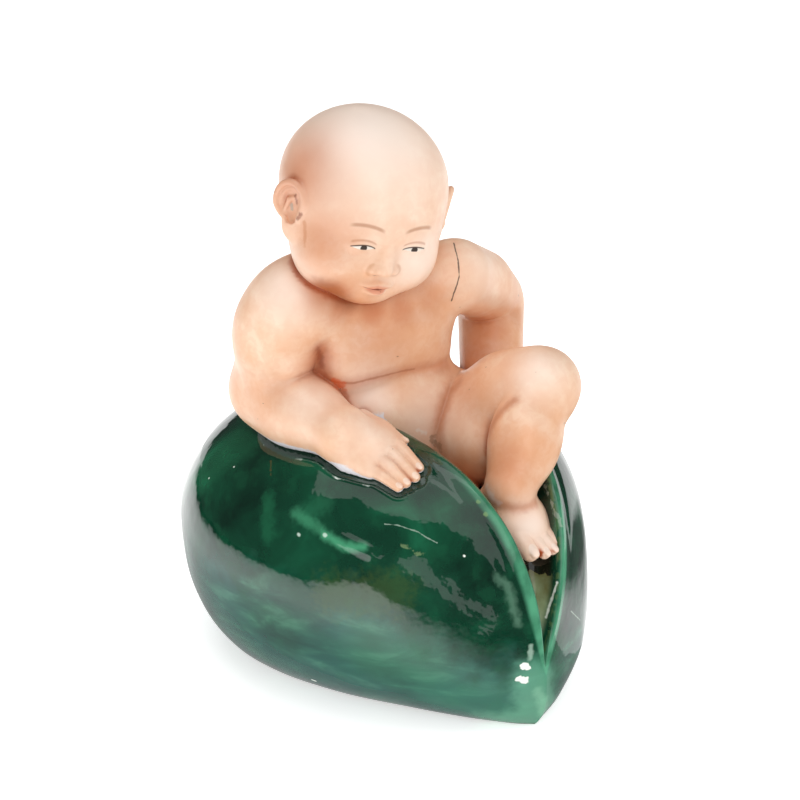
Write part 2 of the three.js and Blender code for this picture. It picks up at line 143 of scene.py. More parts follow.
# The boy: joints of his body, and where his face looks
boy = {
    "head": (-10.6, 4.5, 181.5), "looks": (-0.30, -0.954), "nod": 11, "lean": 12,
    "shoulderR": (-37, 14, 147), "elbowR": (-36, 30.5, 107.5), "wristR": (-36, -13.5, 104),
    "shoulderL": (29, 0, 144), "upperArmL": (47.5, 8, 133), "elbowL": (60, 15, 121.5),
    "wristL": (48, 1, 101.5),
    "hipL": (22, 0, 84.5), "kneeL": (34, -42, 112.5), "ankleL": (7, -56, 85),
    "hipR": (4, 8, 74), "kneeR": (2, -34, 67), "ankleR": (14, -14, 64),
    # fingers and toes: root, tip, radius at the root, radius at the tip
    "fingersR": [((-22.6, -25.0, 101.8), (-23.5, -41.1, 97.2), 2.8, 1.95),
                 ((-27.0, -26.8, 100.6), (-26.8, -42.9, 95.2), 2.8, 2.0),
                 ((-31.4, -27.4, 98.6), (-30.2, -42.0, 93.7), 2.8, 1.95),
                 ((-35.3, -27.0, 95.4), (-32.8, -41.0, 92.4), 2.7, 1.85)],
    "thumbR": ((-23.4, -9.8, 105.2), (-19.2, -27.3, 101.0), 3.4, 1.9),
    "thumbL": ((39, -4, 101), (33, -15, 98), 3.4, 2.3),
    "toesL": [((2.6, -65.0, 71.5), (2.0, -72.6, 67.2), 3.7, 3.3),
              ((6.8, -67.5, 71.0), (6.6, -75.2, 66.6), 2.7, 2.3),
              ((10.0, -68.0, 70.8), (10.2, -75.4, 67.0), 2.5, 2.2),
              ((13.0, -67.5, 70.8), (13.6, -74.4, 67.6), 2.4, 2.1),
              ((15.8, -65.5, 71.2), (16.8, -71.8, 68.4), 2.3, 2.1)],
    "earTurn": 31,
}


def headAxes():
    nod, lean = math.radians(boy["nod"]), math.radians(boy["lean"])
    level = unit((*boy["looks"], 0))
    forward = level * math.cos(nod) - point(0, 0, 1) * math.sin(nod)
    up = level * math.sin(nod) + point(0, 0, 1) * math.cos(nod)
    right = np.cross(forward, up)
    up = up * math.cos(lean) - right * math.sin(lean)
    return np.stack([np.cross(forward, up), forward, up], axis=1)


# Places on the head: x to the boy's right, y forward, z up, from the middle of the skull
def headPlace(p):
    return (p - point(*boy["head"])) @ headAxes()


def head(p):
    q = headPlace(p)
    m = q.copy()
    m[:, 0] = np.abs(m[:, 0])
    d = egg(q, (0, -4, 5.5), (30.4, 31, 27.5))                      # skull
    d = melt(d, egg(q, (0, 4.5, -9.5), (26, 21.5, 20.5)), 10)          # jaw
    d = melt(d, egg(m, (13, 12, -15.5), (13, 11.5, 11.5)), 8)       # full cheeks
    d = melt(d, egg(q, (0, 17.5, -24.5), (8, 6, 5.5)), 9)           # chin
    d = carve(d, egg(m, (10, 30.4, -3.0), (7.5, 3.6, 3.6)), 4)      # eye sockets
    d = melt(d, egg(m, (10, 22.2, -3.6), (5.6, 4.4, 3.8)), 1.6)     # lids
    nose = limb(q, (0, 25.0, -3), (0, 27.8, -11.2), 1.4, 2.9)
    nose = melt(nose, egg(m, (3.7, 25.6, -12.0), (2.4, 2.9, 2.0)), 1.2)
    d = melt(d, nose, 2.6)
    d = carve(d, limb(q, (0, 27.6, -15.0), (0, 27.2, -17.4), 1.6, 1.8), 1.5)     # groove over the lips
    lips = melt(egg(m, (1.9, 24.9, -18.9), (4.2, 2.6, 1.5)), egg(q, (0, 24.7, -21.6), (4.1, 2.8, 1.8)), 0.3)
    return melt(melt(d, lips, 1.3), ear(m), 1.6)


# An ear: a thin plate that stands off the head, a long lobe, a hollow with a rolled rim that thins
# out towards the lobe, a ridge in the hollow, the deeper hole before it and a small flap over the hole
def ear(m):
    turn = math.radians(boy["earTurn"])
    u = m - point(29.6, 4.8, -3.2)
    w = np.stack([u[:, 0] * math.cos(turn) + u[:, 1] * math.sin(turn),
                  u[:, 1] * math.cos(turn) - u[:, 0] * math.sin(turn), u[:, 2]], axis=1)
    d = egg(w, (-0.5, -1.6, 4.4), (1.8, 6.6, 7.6))
    d = melt(d, egg(w, (-0.2, 2.8, -3.8), (2.1, 5.8, 6.2)), 2)
    d = carve(d, egg(w, (1.9, -1.0, 3.4), (2.7, 4.4, 6.2)), 0.6)
    rim = 1.3 - 1.2 * np.clip((-1 - w[:, 2] - 0.2 * w[:, 1]) / 5, 0, 1)
    d = melt(d, ring(w, (0.5, -1.6, 4.4), (5.9, 7.0), rim), 0.5)
    ridge = melt(limb(w, (-0.3, -3.2, -1.0), (-0.2, -2.4, 4.6), 0.8, 1.0),
                 limb(w, (-0.2, -2.4, 4.6), (-0.4, 0.6, 7.4), 1.0, 0.7), 0.5)
    d = melt(d, ridge, 0.6)
    d = carve(d, egg(w, (1.0, 0.9, 0.2), (3.0, 2.7, 3.2)), 0.5)
    return melt(d, egg(w, (0.8, 4.2, 0.4), (1.4, 1.3, 2.0)), 0.7)


def torso(p):
    chest = egg(p, (0, 8, 127.5), (26, 19.5, 21))
    chest = melt(chest, egg(p, (-13, 11, 119), (18, 16, 20)), 8)
    chest = melt(chest, egg(p, (12, 7, 117), (16.5, 14, 17)), 8)
    chest = melt(chest, limb(p, (-27, 13, 143), (18, 4, 139.5), 13.5, 13), 10)
    chest = melt(chest, limb(p, (-26, 16, 152), (-8, 13, 158), 9.5, 9.5), 6)         # neck muscle
    belly = egg(p, (5.5, 4, 97), (27, 21.5, 20))
    belly = melt(belly, egg(p, (0.5, 7.5, 102.5), (27, 19, 15)), 8)
    belly = melt(belly, egg(p, (13, 6, 88), (27, 22, 19)), 8)
    belly = melt(belly, egg(p, (16, 14, 80), (27, 22, 20)), 8)
    d = melt(chest, belly, crease(p, (0, 6, 107), (0, 1, 0), 2.0, 12, 14))
    d = melt(d, limb(p, (-1, 15, 134), (12, 17, 92), 16, 19), 9)
    return melt(d, limb(p, (-3, 8, 140), (-6, 9, 158), 11.5, 11), 5)


def rightArm(p):
    s, e, w = boy["shoulderR"], boy["elbowR"], boy["wristR"]
    upper = melt(limb(p, s, e, 14.6, 12), egg(p, (-39, 20, 133), (15.5, 15.5, 20)), 8)
    fore = melt(limb(p, (-35.5, 28.5, 107), w, 12, 10.6), egg(p, (-36.8, 14, 105.6), (13.8, 20, 14.8)), 8)
    return melt(upper, fore, crease(p, (-40, 22, 113), (-0.9, 0.35, -0.3), 1.0, 10, 9))


def leftArm(p):
    s, m, e, w = boy["shoulderL"], boy["upperArmL"], boy["elbowL"], boy["wristL"]
    upper = np.minimum(limb(p, s, m, 13.6, 12.9), limb(p, m, e, 12.9, 12.2))
    return melt(upper, limb(p, (60, 15, 118.5), w, 12.6, 11.8), 0.8)


# A finger or toe, arched by a share of its radius, with its nail, a thin plate on the tip
def digit(p, a, b, ra, rb, up, arch=0):
    a, b = point(*a), point(*b)
    along = unit(b - a)
    axes = turned(along, up)
    bend = (a + b) / 2 + axes[:, 2] * arch * rb
    middle = (ra + rb) / 2
    d = np.minimum(limb(p, a, bend, ra, middle), limb(p, bend, b, middle, rb))
    plate = b + axes[:, 2] * rb * 0.55 + along * rb * 0.35
    return melt(d, egg(p, plate, (rb * 0.62, rb * 0.85, rb * 0.52), axes), 0.15)


def rightHand(p):
    d = limb(p, boy["wristR"], (-30, -21, 102.2), 10.2, 6.6)
    axes = turned((0.05, -1, -0.2), (-0.38, -0.15, 0.91))
    d = melt(d, egg(p, (-29.8, -19.8, 101.4), (11, 11.5, 5.4), axes), 3)
    d = melt(d, limb(p, (-36.3, -19, 96.8), (-35.6, -29, 95.2), 6.2, 3.2), 3)     # its outer edge
    for finger in boy["fingersR"]:
        d = melt(d, digit(p, *finger, (-0.35, -0.3, 0.9), 0.5), 0.45)
    return melt(d, digit(p, *boy["thumbR"], (0.3, -0.2, 0.9), 0.2), 2.0)


def leftHand(p):
    d = limb(p, boy["wristL"], (42, -10, 100), 8, 5.5)
    for i in range(4):
        root, tip = (38.5 + 2.6 * i, -14, 99.5 - 0.5 * i), (36.5 + 3.6 * i, -28, 97.5 - 1.4 * i)
        d = melt(d, digit(p, root, tip, 2.8, 2.0, (0.3, 0, 0.95)), 0.6)
    return melt(d, digit(p, *boy["thumbL"], (-0.3, 0, 0.95)), 1.5)


def leftLeg(p):
    h, k, a = boy["hipL"], boy["kneeL"], boy["ankleL"]
    thigh = melt(limb(p, h, k, 18, 12.8), egg(p, (19.5, -23.5, 88.5), (16, 19, 17)), 8)
    thigh = melt(thigh, egg(p, (30, -30, 108), (14.5, 15.5, 14)), 7)
    calf = melt(limb(p, k, a, 12.0, 9.4), egg(p, (19.5, -50, 98), (11.8, 11.5, 15)), 9)
    return melt(thigh, calf, crease(p, (31, -38, 110), (0.6, -0.5, 1), 0.7, 9, 7))


def leftFoot(p):
    d = limb(p, (8, -50, 77), (9, -64, 72), 8.5, 5.5)
    d = melt(d, limb(p, boy["ankleL"], (8.5, -57, 78), 9.2, 8.2), 4)
    axes = turned((0.06, -0.93, -0.35), (0.05, -0.35, 0.93))
    d = melt(d, egg(p, (9, -61, 72.5), (10.5, 11, 5.5), axes), 4)
    d = melt(d, egg(p, (7.5, -60.5, 75.0), (10.3, 8.0, 6.6), axes), 3)
    for toe in boy["toesL"]:
        d = melt(d, digit(p, *toe, (0, -0.5, 0.86)), 0.6)
    return d


def rightLeg(p):
    h, k, a = boy["hipR"], boy["kneeR"], boy["ankleR"]
    return melt(limb(p, h, k, 17, 12), limb(p, k, a, 11, 8), 1.6)


# The whole boy: each part is joined to the rest with the fillet or crease that its joint has
def wholeBoy(p):
    d = torso(p)
    d = melt(d, near(p, (-37, 14, 122), 68, rightArm), crease(p, (-27, 8, 136), (-0.1, 0.6, 1), 0.9, 11, 14))
    d = melt(d, near(p, (48, 8, 122), 58, leftArm), crease(p, (27, 0, 132), (0, 0.4, 1), 0.9, 10, 10))
    d = melt(d, near(p, boy["head"], 60, head), crease(p, (-8, 16, 158), (0.3, 1, 0), 0.7, 9, 10))
    d = melt(d, near(p, (-29, -24, 100), 46, rightHand), 2.0)
    d = melt(d, near(p, (42, -12, 100), 42, leftHand), 2.0)
    d = melt(d, near(p, (24, -26, 98), 72, leftLeg), crease(p, (24, -2, 98), (1, 0.4, -0.3), 0.7, 6, 12))
    d = melt(d, near(p, (8, -62, 74), 44, leftFoot), 0.9)
    return melt(d, near(p, (5, -12, 75), 64, rightLeg), 2.2)


# Skins: closed meshes drawn over a form

# The slope of a form and its value, from four points around each point
def slope(form, p, reach=0.04):
    total, value = np.zeros_like(p), 0
    for corner in ((1, -1, -1), (-1, -1, 1), (-1, 1, -1), (1, 1, 1)):
        d = form(p + reach * point(*corner))
        total += d[:, None] * point(*corner)
        value = value + d / 4
    return total / (4 * reach), value


# Slides points along the slope until they lie on the skin, and gives the way out of the skin there
def ontoSkin(form, p, steps, most):
    for _ in range(steps):
        g, d = slope(form, p)
        move = d / np.maximum((g * g).sum(1), 0.3)
        p = p - np.clip(move, -most, most)[:, None] * g
    g, d = slope(form, p)
    return p, g / np.maximum(np.linalg.norm(g, axis=1), 1e-9)[:, None]


cube = np.array([(x, y, z) for x in (0, 1) for y in (0, 1) for z in (0, 1)])


# Surface net: big cells near the skin are halved down to the cell size, each cell that the skin
# crosses gets one point, the mean of the crossings on its edges, and each crossed edge one face
def skinOver(form, low, high, cell, halvings):
    low = point(*low)
    size = cell * 2 ** halvings
    count = np.ceil((point(*high) - low) / size).astype(int)
    cells = np.stack(np.meshgrid(*[np.arange(n) for n in count], indexing="ij"), -1).reshape(-1, 3)
    for _ in range(halvings):
        close = np.abs(form(low + (cells + 0.5) * size)) < size + 1
        cells = (cells[close][:, None] * 2 + cube).reshape(-1, 3)
        size /= 2
    wide = count * 2 ** halvings + 2

    def key(c):
        return (c[..., 0] * wide[1] + c[..., 1]) * wide[2] + c[..., 2]

    corners = cells[:, None] + cube
    known, where = np.unique(key(corners).ravel(), return_inverse=True)
    grid = np.stack([known // (wide[1] * wide[2]), known // wide[2] % wide[1], known % wide[2]], axis=1)
    value = form(low + grid * cell)[where].reshape(-1, 8)
    inside = value < 0
    crossed = inside.any(1) & ~inside.all(1)
    cells, value, inside = cells[crossed], value[crossed], inside[crossed]
    order = np.argsort(key(cells))
    cells, value, inside = cells[order], value[order], inside[order]
    total, hits = np.zeros((len(cells), 3)), np.zeros(len(cells))
    for axis in range(3):
        step = 4 >> axis
        for a in range(8):
            if a & step:
                continue
            b = a | step
            cross = inside[:, a] != inside[:, b]
            t = value[cross, a] / (value[cross, a] - value[cross, b])
            total[cross] += cube[a]
            total[cross, axis] += t
            hits[cross] += 1
    points = low + (cells + total / hits[:, None]) * cell
    keys, faces = key(cells), []
    for axis in range(3):
        rows = np.flatnonzero(inside[:, 0] != inside[:, 4 >> axis])
        b, c = np.eye(3, dtype=int)[(axis + 1) % 3], np.eye(3, dtype=int)[(axis + 2) % 3]
        around = np.stack([cells[rows], cells[rows] - b, cells[rows] - b - c, cells[rows] - c], axis=1)
        quad = np.searchsorted(keys, key(around))
        quad[~inside[rows, 0]] = quad[~inside[rows, 0]][:, ::-1]
        faces.append(quad)
    quad = np.concatenate(faces)
    short = (np.linalg.norm(points[quad[:, 0]] - points[quad[:, 2]], axis=1)
             < np.linalg.norm(points[quad[:, 1]] - points[quad[:, 3]], axis=1))[:, None]
    first = np.where(short, quad[:, [0, 1, 2]], quad[:, [0, 1, 3]])
    second = np.where(short, quad[:, [0, 2, 3]], quad[:, [1, 2, 3]])
    return points, np.concatenate([first, second])


# Splits in two each edge that wants(ends) picks, and each triangle in two, three or four with it.
# Gives the two ends of each new point, and the new triangles
def splitEdges(points, faces, wants):
    edges = np.sort(faces[:, [[0, 1], [1, 2], [2, 0]]], axis=2).reshape(-1, 2)
    known, where = np.unique(edges[:, 0] * len(points) + edges[:, 1], return_inverse=True)
    ends = np.stack([known // len(points), known % len(points)], axis=1)
    chosen = wants(ends)
    middle = np.where(chosen, len(points) + np.cumsum(chosen) - 1, -1)[where].reshape(-1, 3)
    halved = (middle >= 0).sum(1)
    parts = [faces[halved == 0]]
    # each face is turned so that its halved edges come first
    for count in (1, 2, 3):
        f, m = faces[halved == count], middle[halved == count]
        lead = [np.argmax(m >= 0, axis=1), (np.argmin(m, axis=1) + 1) % 3, np.zeros(len(m), int)][count - 1]
        turn = (np.arange(3) + lead[:, None]) % 3
        f, m = np.take_along_axis(f, turn, 1), np.take_along_axis(m, turn, 1)
        a, b, c, ab, bc, ca = *f.T, *m.T
        new = {1: [(a, ab, c), (ab, b, c)], 2: [(ab, b, bc), (a, ab, c), (ab, bc, c)],
               3: [(a, ab, ca), (ab, b, bc), (ca, bc, c), (ab, bc, ca)]}[count]
        parts += [np.stack(t, axis=1) for t in new]
    return ends[chosen], np.concatenate(parts)


# Lets a value spread over the skin: the highest of the neighbours, then their mean, some times each
def spread(values, faces, widen, soften):
    a, b = np.concatenate([faces[:, [0, 1]], faces[:, [1, 2]], faces[:, [2, 0]]]).T
    for _ in range(widen):
        highest = values.copy()
        np.maximum.at(highest, a, values[b])
        values = highest
    for _ in range(soften):
        mean = np.bincount(a, values[b], len(values)) / np.bincount(a, minlength=len(values))
        values = 0.5 * values + 0.5 * mean
    return values


# A mesh from points in mm and their faces, with a value or a place on each point for the materials
def makePiece(name, points, faces, traits, material):
    mesh = bpy.data.meshes.new(name)
    mesh.vertices.add(len(points))
    mesh.vertices.foreach_set("co", (points * mm).ravel())
    sides = faces.shape[1]
    mesh.loops.add(faces.size)
    mesh.loops.foreach_set("vertex_index", faces.ravel())
    mesh.polygons.add(len(faces))
    mesh.polygons.foreach_set("loop_start", np.arange(len(faces)) * sides)
    mesh.polygons.foreach_set("use_smooth", np.ones(len(faces), bool))
    mesh.update(calc_edges=True)
    mesh.validate()
    for key, values in traits.items():
        kind, field = ("FLOAT_VECTOR", "vector") if values.ndim == 2 else ("FLOAT", "value")
        mesh.attributes.new(key, kind, "POINT").data.foreach_set(field, values.ravel())
    mesh.materials.append(material)
    piece = bpy.data.objects.new(name, mesh)
    scene.collection.objects.link(piece)
    return piece


# Materials

def colour(code):
    srgb = np.array([int(code[i:i + 2], 16) / 255 for i in (1, 3, 5)])
    linear = np.where(srgb <= 0.04045, srgb / 12.92, ((srgb + 0.055) / 1.055) ** 2.4)
    return (*linear, 1.0)


# Adds one node with its settings: inputs are values or other nodes' outputs, listed in the node's own
# order or named in a dictionary, and stops are the places and colours of a colour ramp
def add(tree, kind, inputs=(), out=None, stops=(), **settings):
    node = tree.nodes.new("ShaderNode" + kind)
    for key, value in settings.items():
        setattr(node, key, value)
    sockets = [socket for socket in node.inputs if socket.enabled]
    if isinstance(inputs, dict):
        names = [socket.name for socket in sockets]
        sockets = [sockets[names.index(name)] for name in inputs]
        inputs = inputs.values()
    for socket, value in zip(sockets, inputs):
        if isinstance(value, bpy.types.NodeSocket):
            tree.links.new(value, socket)
        else:
            socket.default_value = value
    if stops:
        elements = node.color_ramp.elements
        while len(elements) < len(stops):
            elements.new(0.5)
        for element, (at, code) in zip(elements, stops):
            element.position, element.color = at, colour(code)
    if out is not None:
        return node.outputs[out]
    return next((socket for socket in node.outputs if socket.enabled), None)


def newMaterial(name):
    material = bpy.data.materials.new(name)
    material.use_nodes = True
    material.node_tree.nodes.clear()
    return material, material.node_tree


# How far all of some bands hold, 0 to 1. A band is a value, where it holds in full and where it no
# longer does; with a level before those two, the value's distance from that level counts
def within(tree, bands):
    share = None
    for value, *level, full, none in bands:
        if level:
            value = add(tree, "Math", (value, *level), operation="SUBTRACT")
            value = add(tree, "Math", (value,), operation="ABSOLUTE")
        part = add(tree, "MapRange", (value, full, none, 1, 0), interpolation_type="SMOOTHSTEP")
        share = part if share is None else add(tree, "Math", (share, part), operation="MULTIPLY")
    return share


# Lays colours over a base one after another. A layer is its colour, its strength and where it lies,
# a share from 0 to 1 or a list of bands
def layered(tree, base, layers):
    for over, strength, share in layers:
        if isinstance(share, list):
            share = within(tree, share)
        if strength != 1:
            share = add(tree, "Math", (share, strength), operation="MULTIPLY")
        over = colour(over) if isinstance(over, str) else over
        base = add(tree, "Mix", (share, base, over), data_type="RGBA")
    return base


# A value moved up and down by a noise, so that an edge drawn by it wanders
def wander(tree, value, noise, reach):
    shift = add(tree, "Math", (noise, 0.5), operation="SUBTRACT")
    return add(tree, "Math", (shift, reach, value), operation="MULTIPLY_ADD")


# Where a mark lies, 0 to 1: near some strokes, each a chain of points in millimetres. The distance
# from a stroke is that from the nearest point on it, and its edge wanders by a noise
def markShare(tree, place, noise, wide, soft, ragged, chains):
    nearest = None
    for a, b in (pair for chain in chains for pair in zip(chain, chain[1:])):
        a, b = point(*a) * mm, point(*b) * mm
        along = (b - a) / ((b - a) @ (b - a))
        fromA = add(tree, "VectorMath", (place, a), operation="SUBTRACT")
        t = add(tree, "VectorMath", (fromA, along), operation="DOT_PRODUCT")
        t = add(tree, "Clamp", (t,))
        foot = add(tree, "VectorMath", (b - a, t), operation="SCALE")
        d = add(tree, "VectorMath", (fromA, foot), operation="DISTANCE")
        nearest = d if nearest is None else add(tree, "Math", (nearest, d), operation="MINIMUM")
    nearest = wander(tree, nearest, noise, ragged * 5 * mm)
    return within(tree, [(nearest, wide * mm, (wide + soft) * mm)])


# The peach: two halves that meet at the tip and at the back and part between them in a rolled lip
peach = {
    # rows from the tip to the back: y, height of the lip near and far, its place near and far,
    # half the width of the roll, depth of the seat below the lip
    "lipRows": [(-84, 26, 26, 0, 0, 0, 0.5), (-84.5, 46, 44, -2.4, 3.5, 1.6, 7),
                (-81.5, 62, 60, -4.2, 8, 2.3, 11), (-74, 77, 74, -6.2, 14, 2.6, 13),
                (-62, 89, 85, -8.2, 20, 2.8, 16), (-47, 97, 92, -10, 26, 3, 22),
                (-25, 100.5, 96, -11, 32, 3.2, 28), (-3, 100, 97, -11, 37, 3.5, 31),
                (18, 97.5, 96.5, -9.5, 36, 3.5, 30), (34, 95, 94.5, -4, 27, 3, 25),
                (41, 93, 93, 9, 9, 0, 21)],
    # y, half width near and far and height of the widest level; y and half widths of the foot
    "skinRows": [(-85, 0, 0, 16, -79, 0, 0), (-81, 11, 13, 18, -73, 6, 8), (-71, 28, 31, 25, -60, 15, 18),
                 (-52, 48, 50, 35, -42, 25, 28), (-26, 65, 64, 43, -20, 37, 38),
                 (4, 73, 69, 48, 6, 46, 44), (34, 70, 65, 51, 30, 46, 42), (61, 54, 50, 52, 48, 35, 32),
                 (77, 31, 30, 52, 57, 20, 20), (82, 0, 0, 52, 60, 0, 0)],
    # how soon the foot cuts the lower quarter off, how full the upper one is, and points along and across
    "lowerCut": 0.86, "upperPower": 2.03,
    "columns": 240, "footRows": 5, "lowerRows": 24, "upperRows": 60, "rollRows": 12, "innerRows": 30,
    "wave": 0.32, "waveSize": 24, "ripple": 0.10, "rippleSize": 9,      # how the glaze lies, mm
    "runSize": 8, "run": 0.5,                                           # how its edge wanders
    # the groove outside the lip: its depth, place and width, and where it starts and ends
    "trough": 0.55, "troughAt": 6.5, "troughWide": 2.2, "troughFrom": (-83, -70), "troughTo": (-5, 30),
    # the channel round arm and hand, with a bead of glaze outside it, and where these fade in
    "channelWide": 2.1, "channelDeep": 0.5, "beadAt": 2.8, "beadHigh": 0.2, "beadWide": 0.5,
    "channelUp": (60, 75), "channelAside": (-14, -20), "channelFront": (4, -8),
    "swelling": ((-54, -32.5, 76), (-47, -43, 72), 2.6, 0.9),           # a run of thick glaze
    "fineEdges": (0.9, 0.55), "fineGap": (-1, 6),                       # longest edges beside arm and hand
    "still": (0.5, 9),                                                  # the foot and its edge stay flat
}


# A smooth curve through rows of values, read at t = 0 to 1
def through(rows, t):
    rows = np.array(rows, float)
    x = np.clip(t, 0, 1) * (len(rows) - 1)
    i = np.minimum(x.astype(int), len(rows) - 2)
    f = (x - i)[:, None]
    b, c = rows[i], rows[i + 1]
    a = np.where(i[:, None] == 0, 2 * b - c, rows[np.maximum(i - 1, 0)])
    d = np.where(i[:, None] == len(rows) - 2, 2 * c - b, rows[np.minimum(i + 2, len(rows) - 1)])
    squared, cubed = 2 * a - 5 * b + 4 * c - d, 3 * b - a - 3 * c + d
    return 0.5 * (2 * b + (c - a) * f + squared * f ** 2 + cubed * f ** 3)


# One half as a grid: along v from tip to back, and across from the middle of the foot over the widest
# level, a quarter ellipse below it and a rounder quarter above, to the roll and down the inner wall
def halfPeach(side):
    v = np.linspace(0, 1, peach["columns"])
    y, zNear, zFar, xNear, xFar, roll, depth = through(peach["lipRows"], v).T
    yWide, wideNear, wideFar, zWide, yFoot, footNear, footFar = through(peach["skinRows"], v).T
    xLip, z, wide, foot = (xNear, zNear, wideNear, footNear) if side < 0 else (xFar, zFar, wideFar, footFar)
    dy, dz = np.gradient(y), np.gradient(z)
    run = np.hypot(dy, dz)
    flat = np.zeros_like(v)
    down = np.stack([flat, -dz / run, dy / run], axis=1) * -1
    out = np.array([side, 0, 0])
    top = np.stack([xLip + side * roll, y, z], axis=1)
    heart = top + roll[:, None] * down
    widest = np.stack([side * np.maximum(wide, 0), yWide, zWide], axis=1)
    edge = np.stack([side * np.maximum(foot, 0), yFoot, flat], axis=1)
    middle = np.stack([flat, yFoot, flat], axis=1)
    rows = [middle + (edge - middle) * k / peach["footRows"] for k in range(peach["footRows"])]
    cut = math.asin(peach["lowerCut"])
    for k in range(peach["lowerRows"]):
        a = cut * (1 - k / peach["lowerRows"])
        row = widest + (edge - widest) * (1 - math.cos(a)) / (1 - math.cos(cut))
        row[:, 2] = zWide * (1 - math.sin(a) / math.sin(cut))
        rows.append(row)
    for k in range(peach["upperRows"]):
        a = math.pi / 2 * k / peach["upperRows"]
        row = widest + (top - widest) * (1 - math.cos(a) ** (2 / peach["upperPower"]))
        row[:, 2] = zWide + (z - zWide) * math.sin(a) ** (2 / peach["upperPower"])
        rows.append(row)
    lipRow = len(rows)
    for k in range(peach["rollRows"]):
        a = math.pi / 2 * k / peach["rollRows"]
        rows.append(heart - roll[:, None] * (math.cos(a) * down + math.sin(a) * out))
    wall = heart - roll[:, None] * out
    zMid = (zNear + zFar) / 2
    dzMid = np.gradient(zMid)
    run = np.hypot(dy, dzMid)
    seat = np.stack([(xNear + xFar) / 2, y + depth * dzMid / run, zMid - depth * dy / run], axis=1)
    for k in range(peach["innerRows"] + 1):
        a = math.pi / 2 * k / peach["innerRows"]
        share = np.array([1 - math.cos(a), math.sin(a), math.sin(a)])
        rows.append(wall + (seat - wall) * share)
    grid = np.stack(rows, axis=1)
    steps = np.linalg.norm(np.diff(grid, axis=1), axis=2)
    walked = np.concatenate([flat[:, None], np.cumsum(steps, axis=1)], axis=1)
    return grid, walked[:, lipRow:lipRow + 1] - walked


# The four-sided faces of a grid, turned outward for either half
def gridFaces(grid, side, start):
    n, m = grid.shape[:2]
    i = (np.arange(n - 1)[:, None] * m + np.arange(m - 1)).ravel() + start
    quads = np.stack([i, i + m, i + m + 1, i + 1], axis=1)
    return quads if side > 0 else quads[:, ::-1]


# The way out of the skin at each point: the sum of the faces' normals round it
def wayOut(points, faces):
    a, b, c = (points[faces[:, k]] for k in range(3))
    n = np.cross(b - a, c - a)
    total = np.stack([sum(np.bincount(faces[:, k], n[:, axis], len(points)) for k in range(3))
                      for axis in range(3)], axis=1)
    return total / np.maximum(np.linalg.norm(total, axis=1), 1e-12)[:, None]


# Distance from a straight line between two points
def fromLine(p, a, b):
    a, b = point(*a), point(*b)
    t = np.clip((p - a) @ (b - a) / ((b - a) @ (b - a)), 0, 1)
    return np.linalg.norm(p - a - t[:, None] * (b - a), axis=1)


def easeIn(x, low, high):
    t = np.clip((x - low) / (high - low), 0, 1)
    return t * t * (3 - 2 * t)


# New points half way along curved edges: half of the way on to the planes that touch the skin at the ends
def halfWay(points, out, ends):
    a, b = points[ends[:, 0]], points[ends[:, 1]]
    middle = (a + b) / 2
    lift = sum(((corner - middle) * out[ends[:, k]]).sum(1, keepdims=True) * out[ends[:, k]]
               for k, corner in enumerate((a, b)))
    return middle + lift / 4


def peachSkin():
    points, lip, faces, start = [], [], [], 0
    for side in (-1, 1):
        grid, fromLip = halfPeach(side)
        points.append(grid.reshape(-1, 3))
        lip.append(fromLip.ravel())
        quads = gridFaces(grid, side, start)
        faces += [quads[:, [0, 1, 2]], quads[:, [0, 2, 3]]]
        start += grid.shape[0] * grid.shape[1]
    points, lip, faces = np.concatenate(points), np.concatenate(lip), np.concatenate(faces)
    # points that fall together on the tip, the back, the seat and the foot are made one
    _, first, where = np.unique(np.round(points * 1e3).astype(int), axis=0,
                                return_index=True, return_inverse=True)
    points, lip, faces = points[first], lip[first], where.ravel()[faces]
    whole = (faces[:, 0] != faces[:, 1]) & (faces[:, 1] != faces[:, 2]) & (faces[:, 2] != faces[:, 0])
    faces = faces[whole]
    gap = wholeBoy(points)
    least, most = peach["fineGap"]
    for longest in peach["fineEdges"]:
        def besideArm(ends):
            length = np.linalg.norm(points[ends[:, 0]] - points[ends[:, 1]], axis=1)
            close = (gap > least) & (gap < most) & (lip > -2)
            close &= (points[:, 0] < peach["channelAside"][0]) & (points[:, 2] > peach["channelUp"][0])
            return close[ends].all(1) & (length > longest)
        ends, newFaces = splitEdges(points, faces, besideArm)
        new = halfWay(points, wayOut(points, faces), ends)
        points, faces = np.concatenate([points, new]), newFaces
        lip, gap = np.concatenate([lip, lip[ends].mean(1)]), np.concatenate([gap, wholeBoy(new)])
    out = wayOut(points, faces)
    free = easeIn(points[:, 2], *peach["still"])
    rise = peach["wave"] * lumps(points, peach["waveSize"], 3)
    rise += peach["ripple"] * lumps(points, peach["rippleSize"], 4)
    x, y, z = points.T
    parted = easeIn(y, *peach["troughFrom"]) * (1 - easeIn(y, *peach["troughTo"]))
    rise -= peach["trough"] * parted * np.exp(-((lip - peach["troughAt"]) / peach["troughWide"]) ** 2)
    run = gap + peach["run"] * lumps(points, peach["runSize"], 5)
    beside = (lip > -1) * easeIn(z, *peach["channelUp"]) * easeIn(x, *peach["channelAside"])
    beside *= easeIn(y, *peach["channelFront"])
    outer, soft = peach["channelWide"], peach["beadWide"]
    rise -= beside * peach["channelDeep"] * (1 - easeIn(run, outer - soft, outer + soft))
    rise += beside * peach["beadHigh"] * np.exp(-((run - peach["beadAt"]) / soft) ** 2)
    a, b, wide, high = peach["swelling"]
    rise += high * np.exp(-(fromLine(points, a, b) / wide) ** 2)
    return points + (rise * free)[:, None] * out, faces, {"gap": run, "lip": lip}


# Finishes

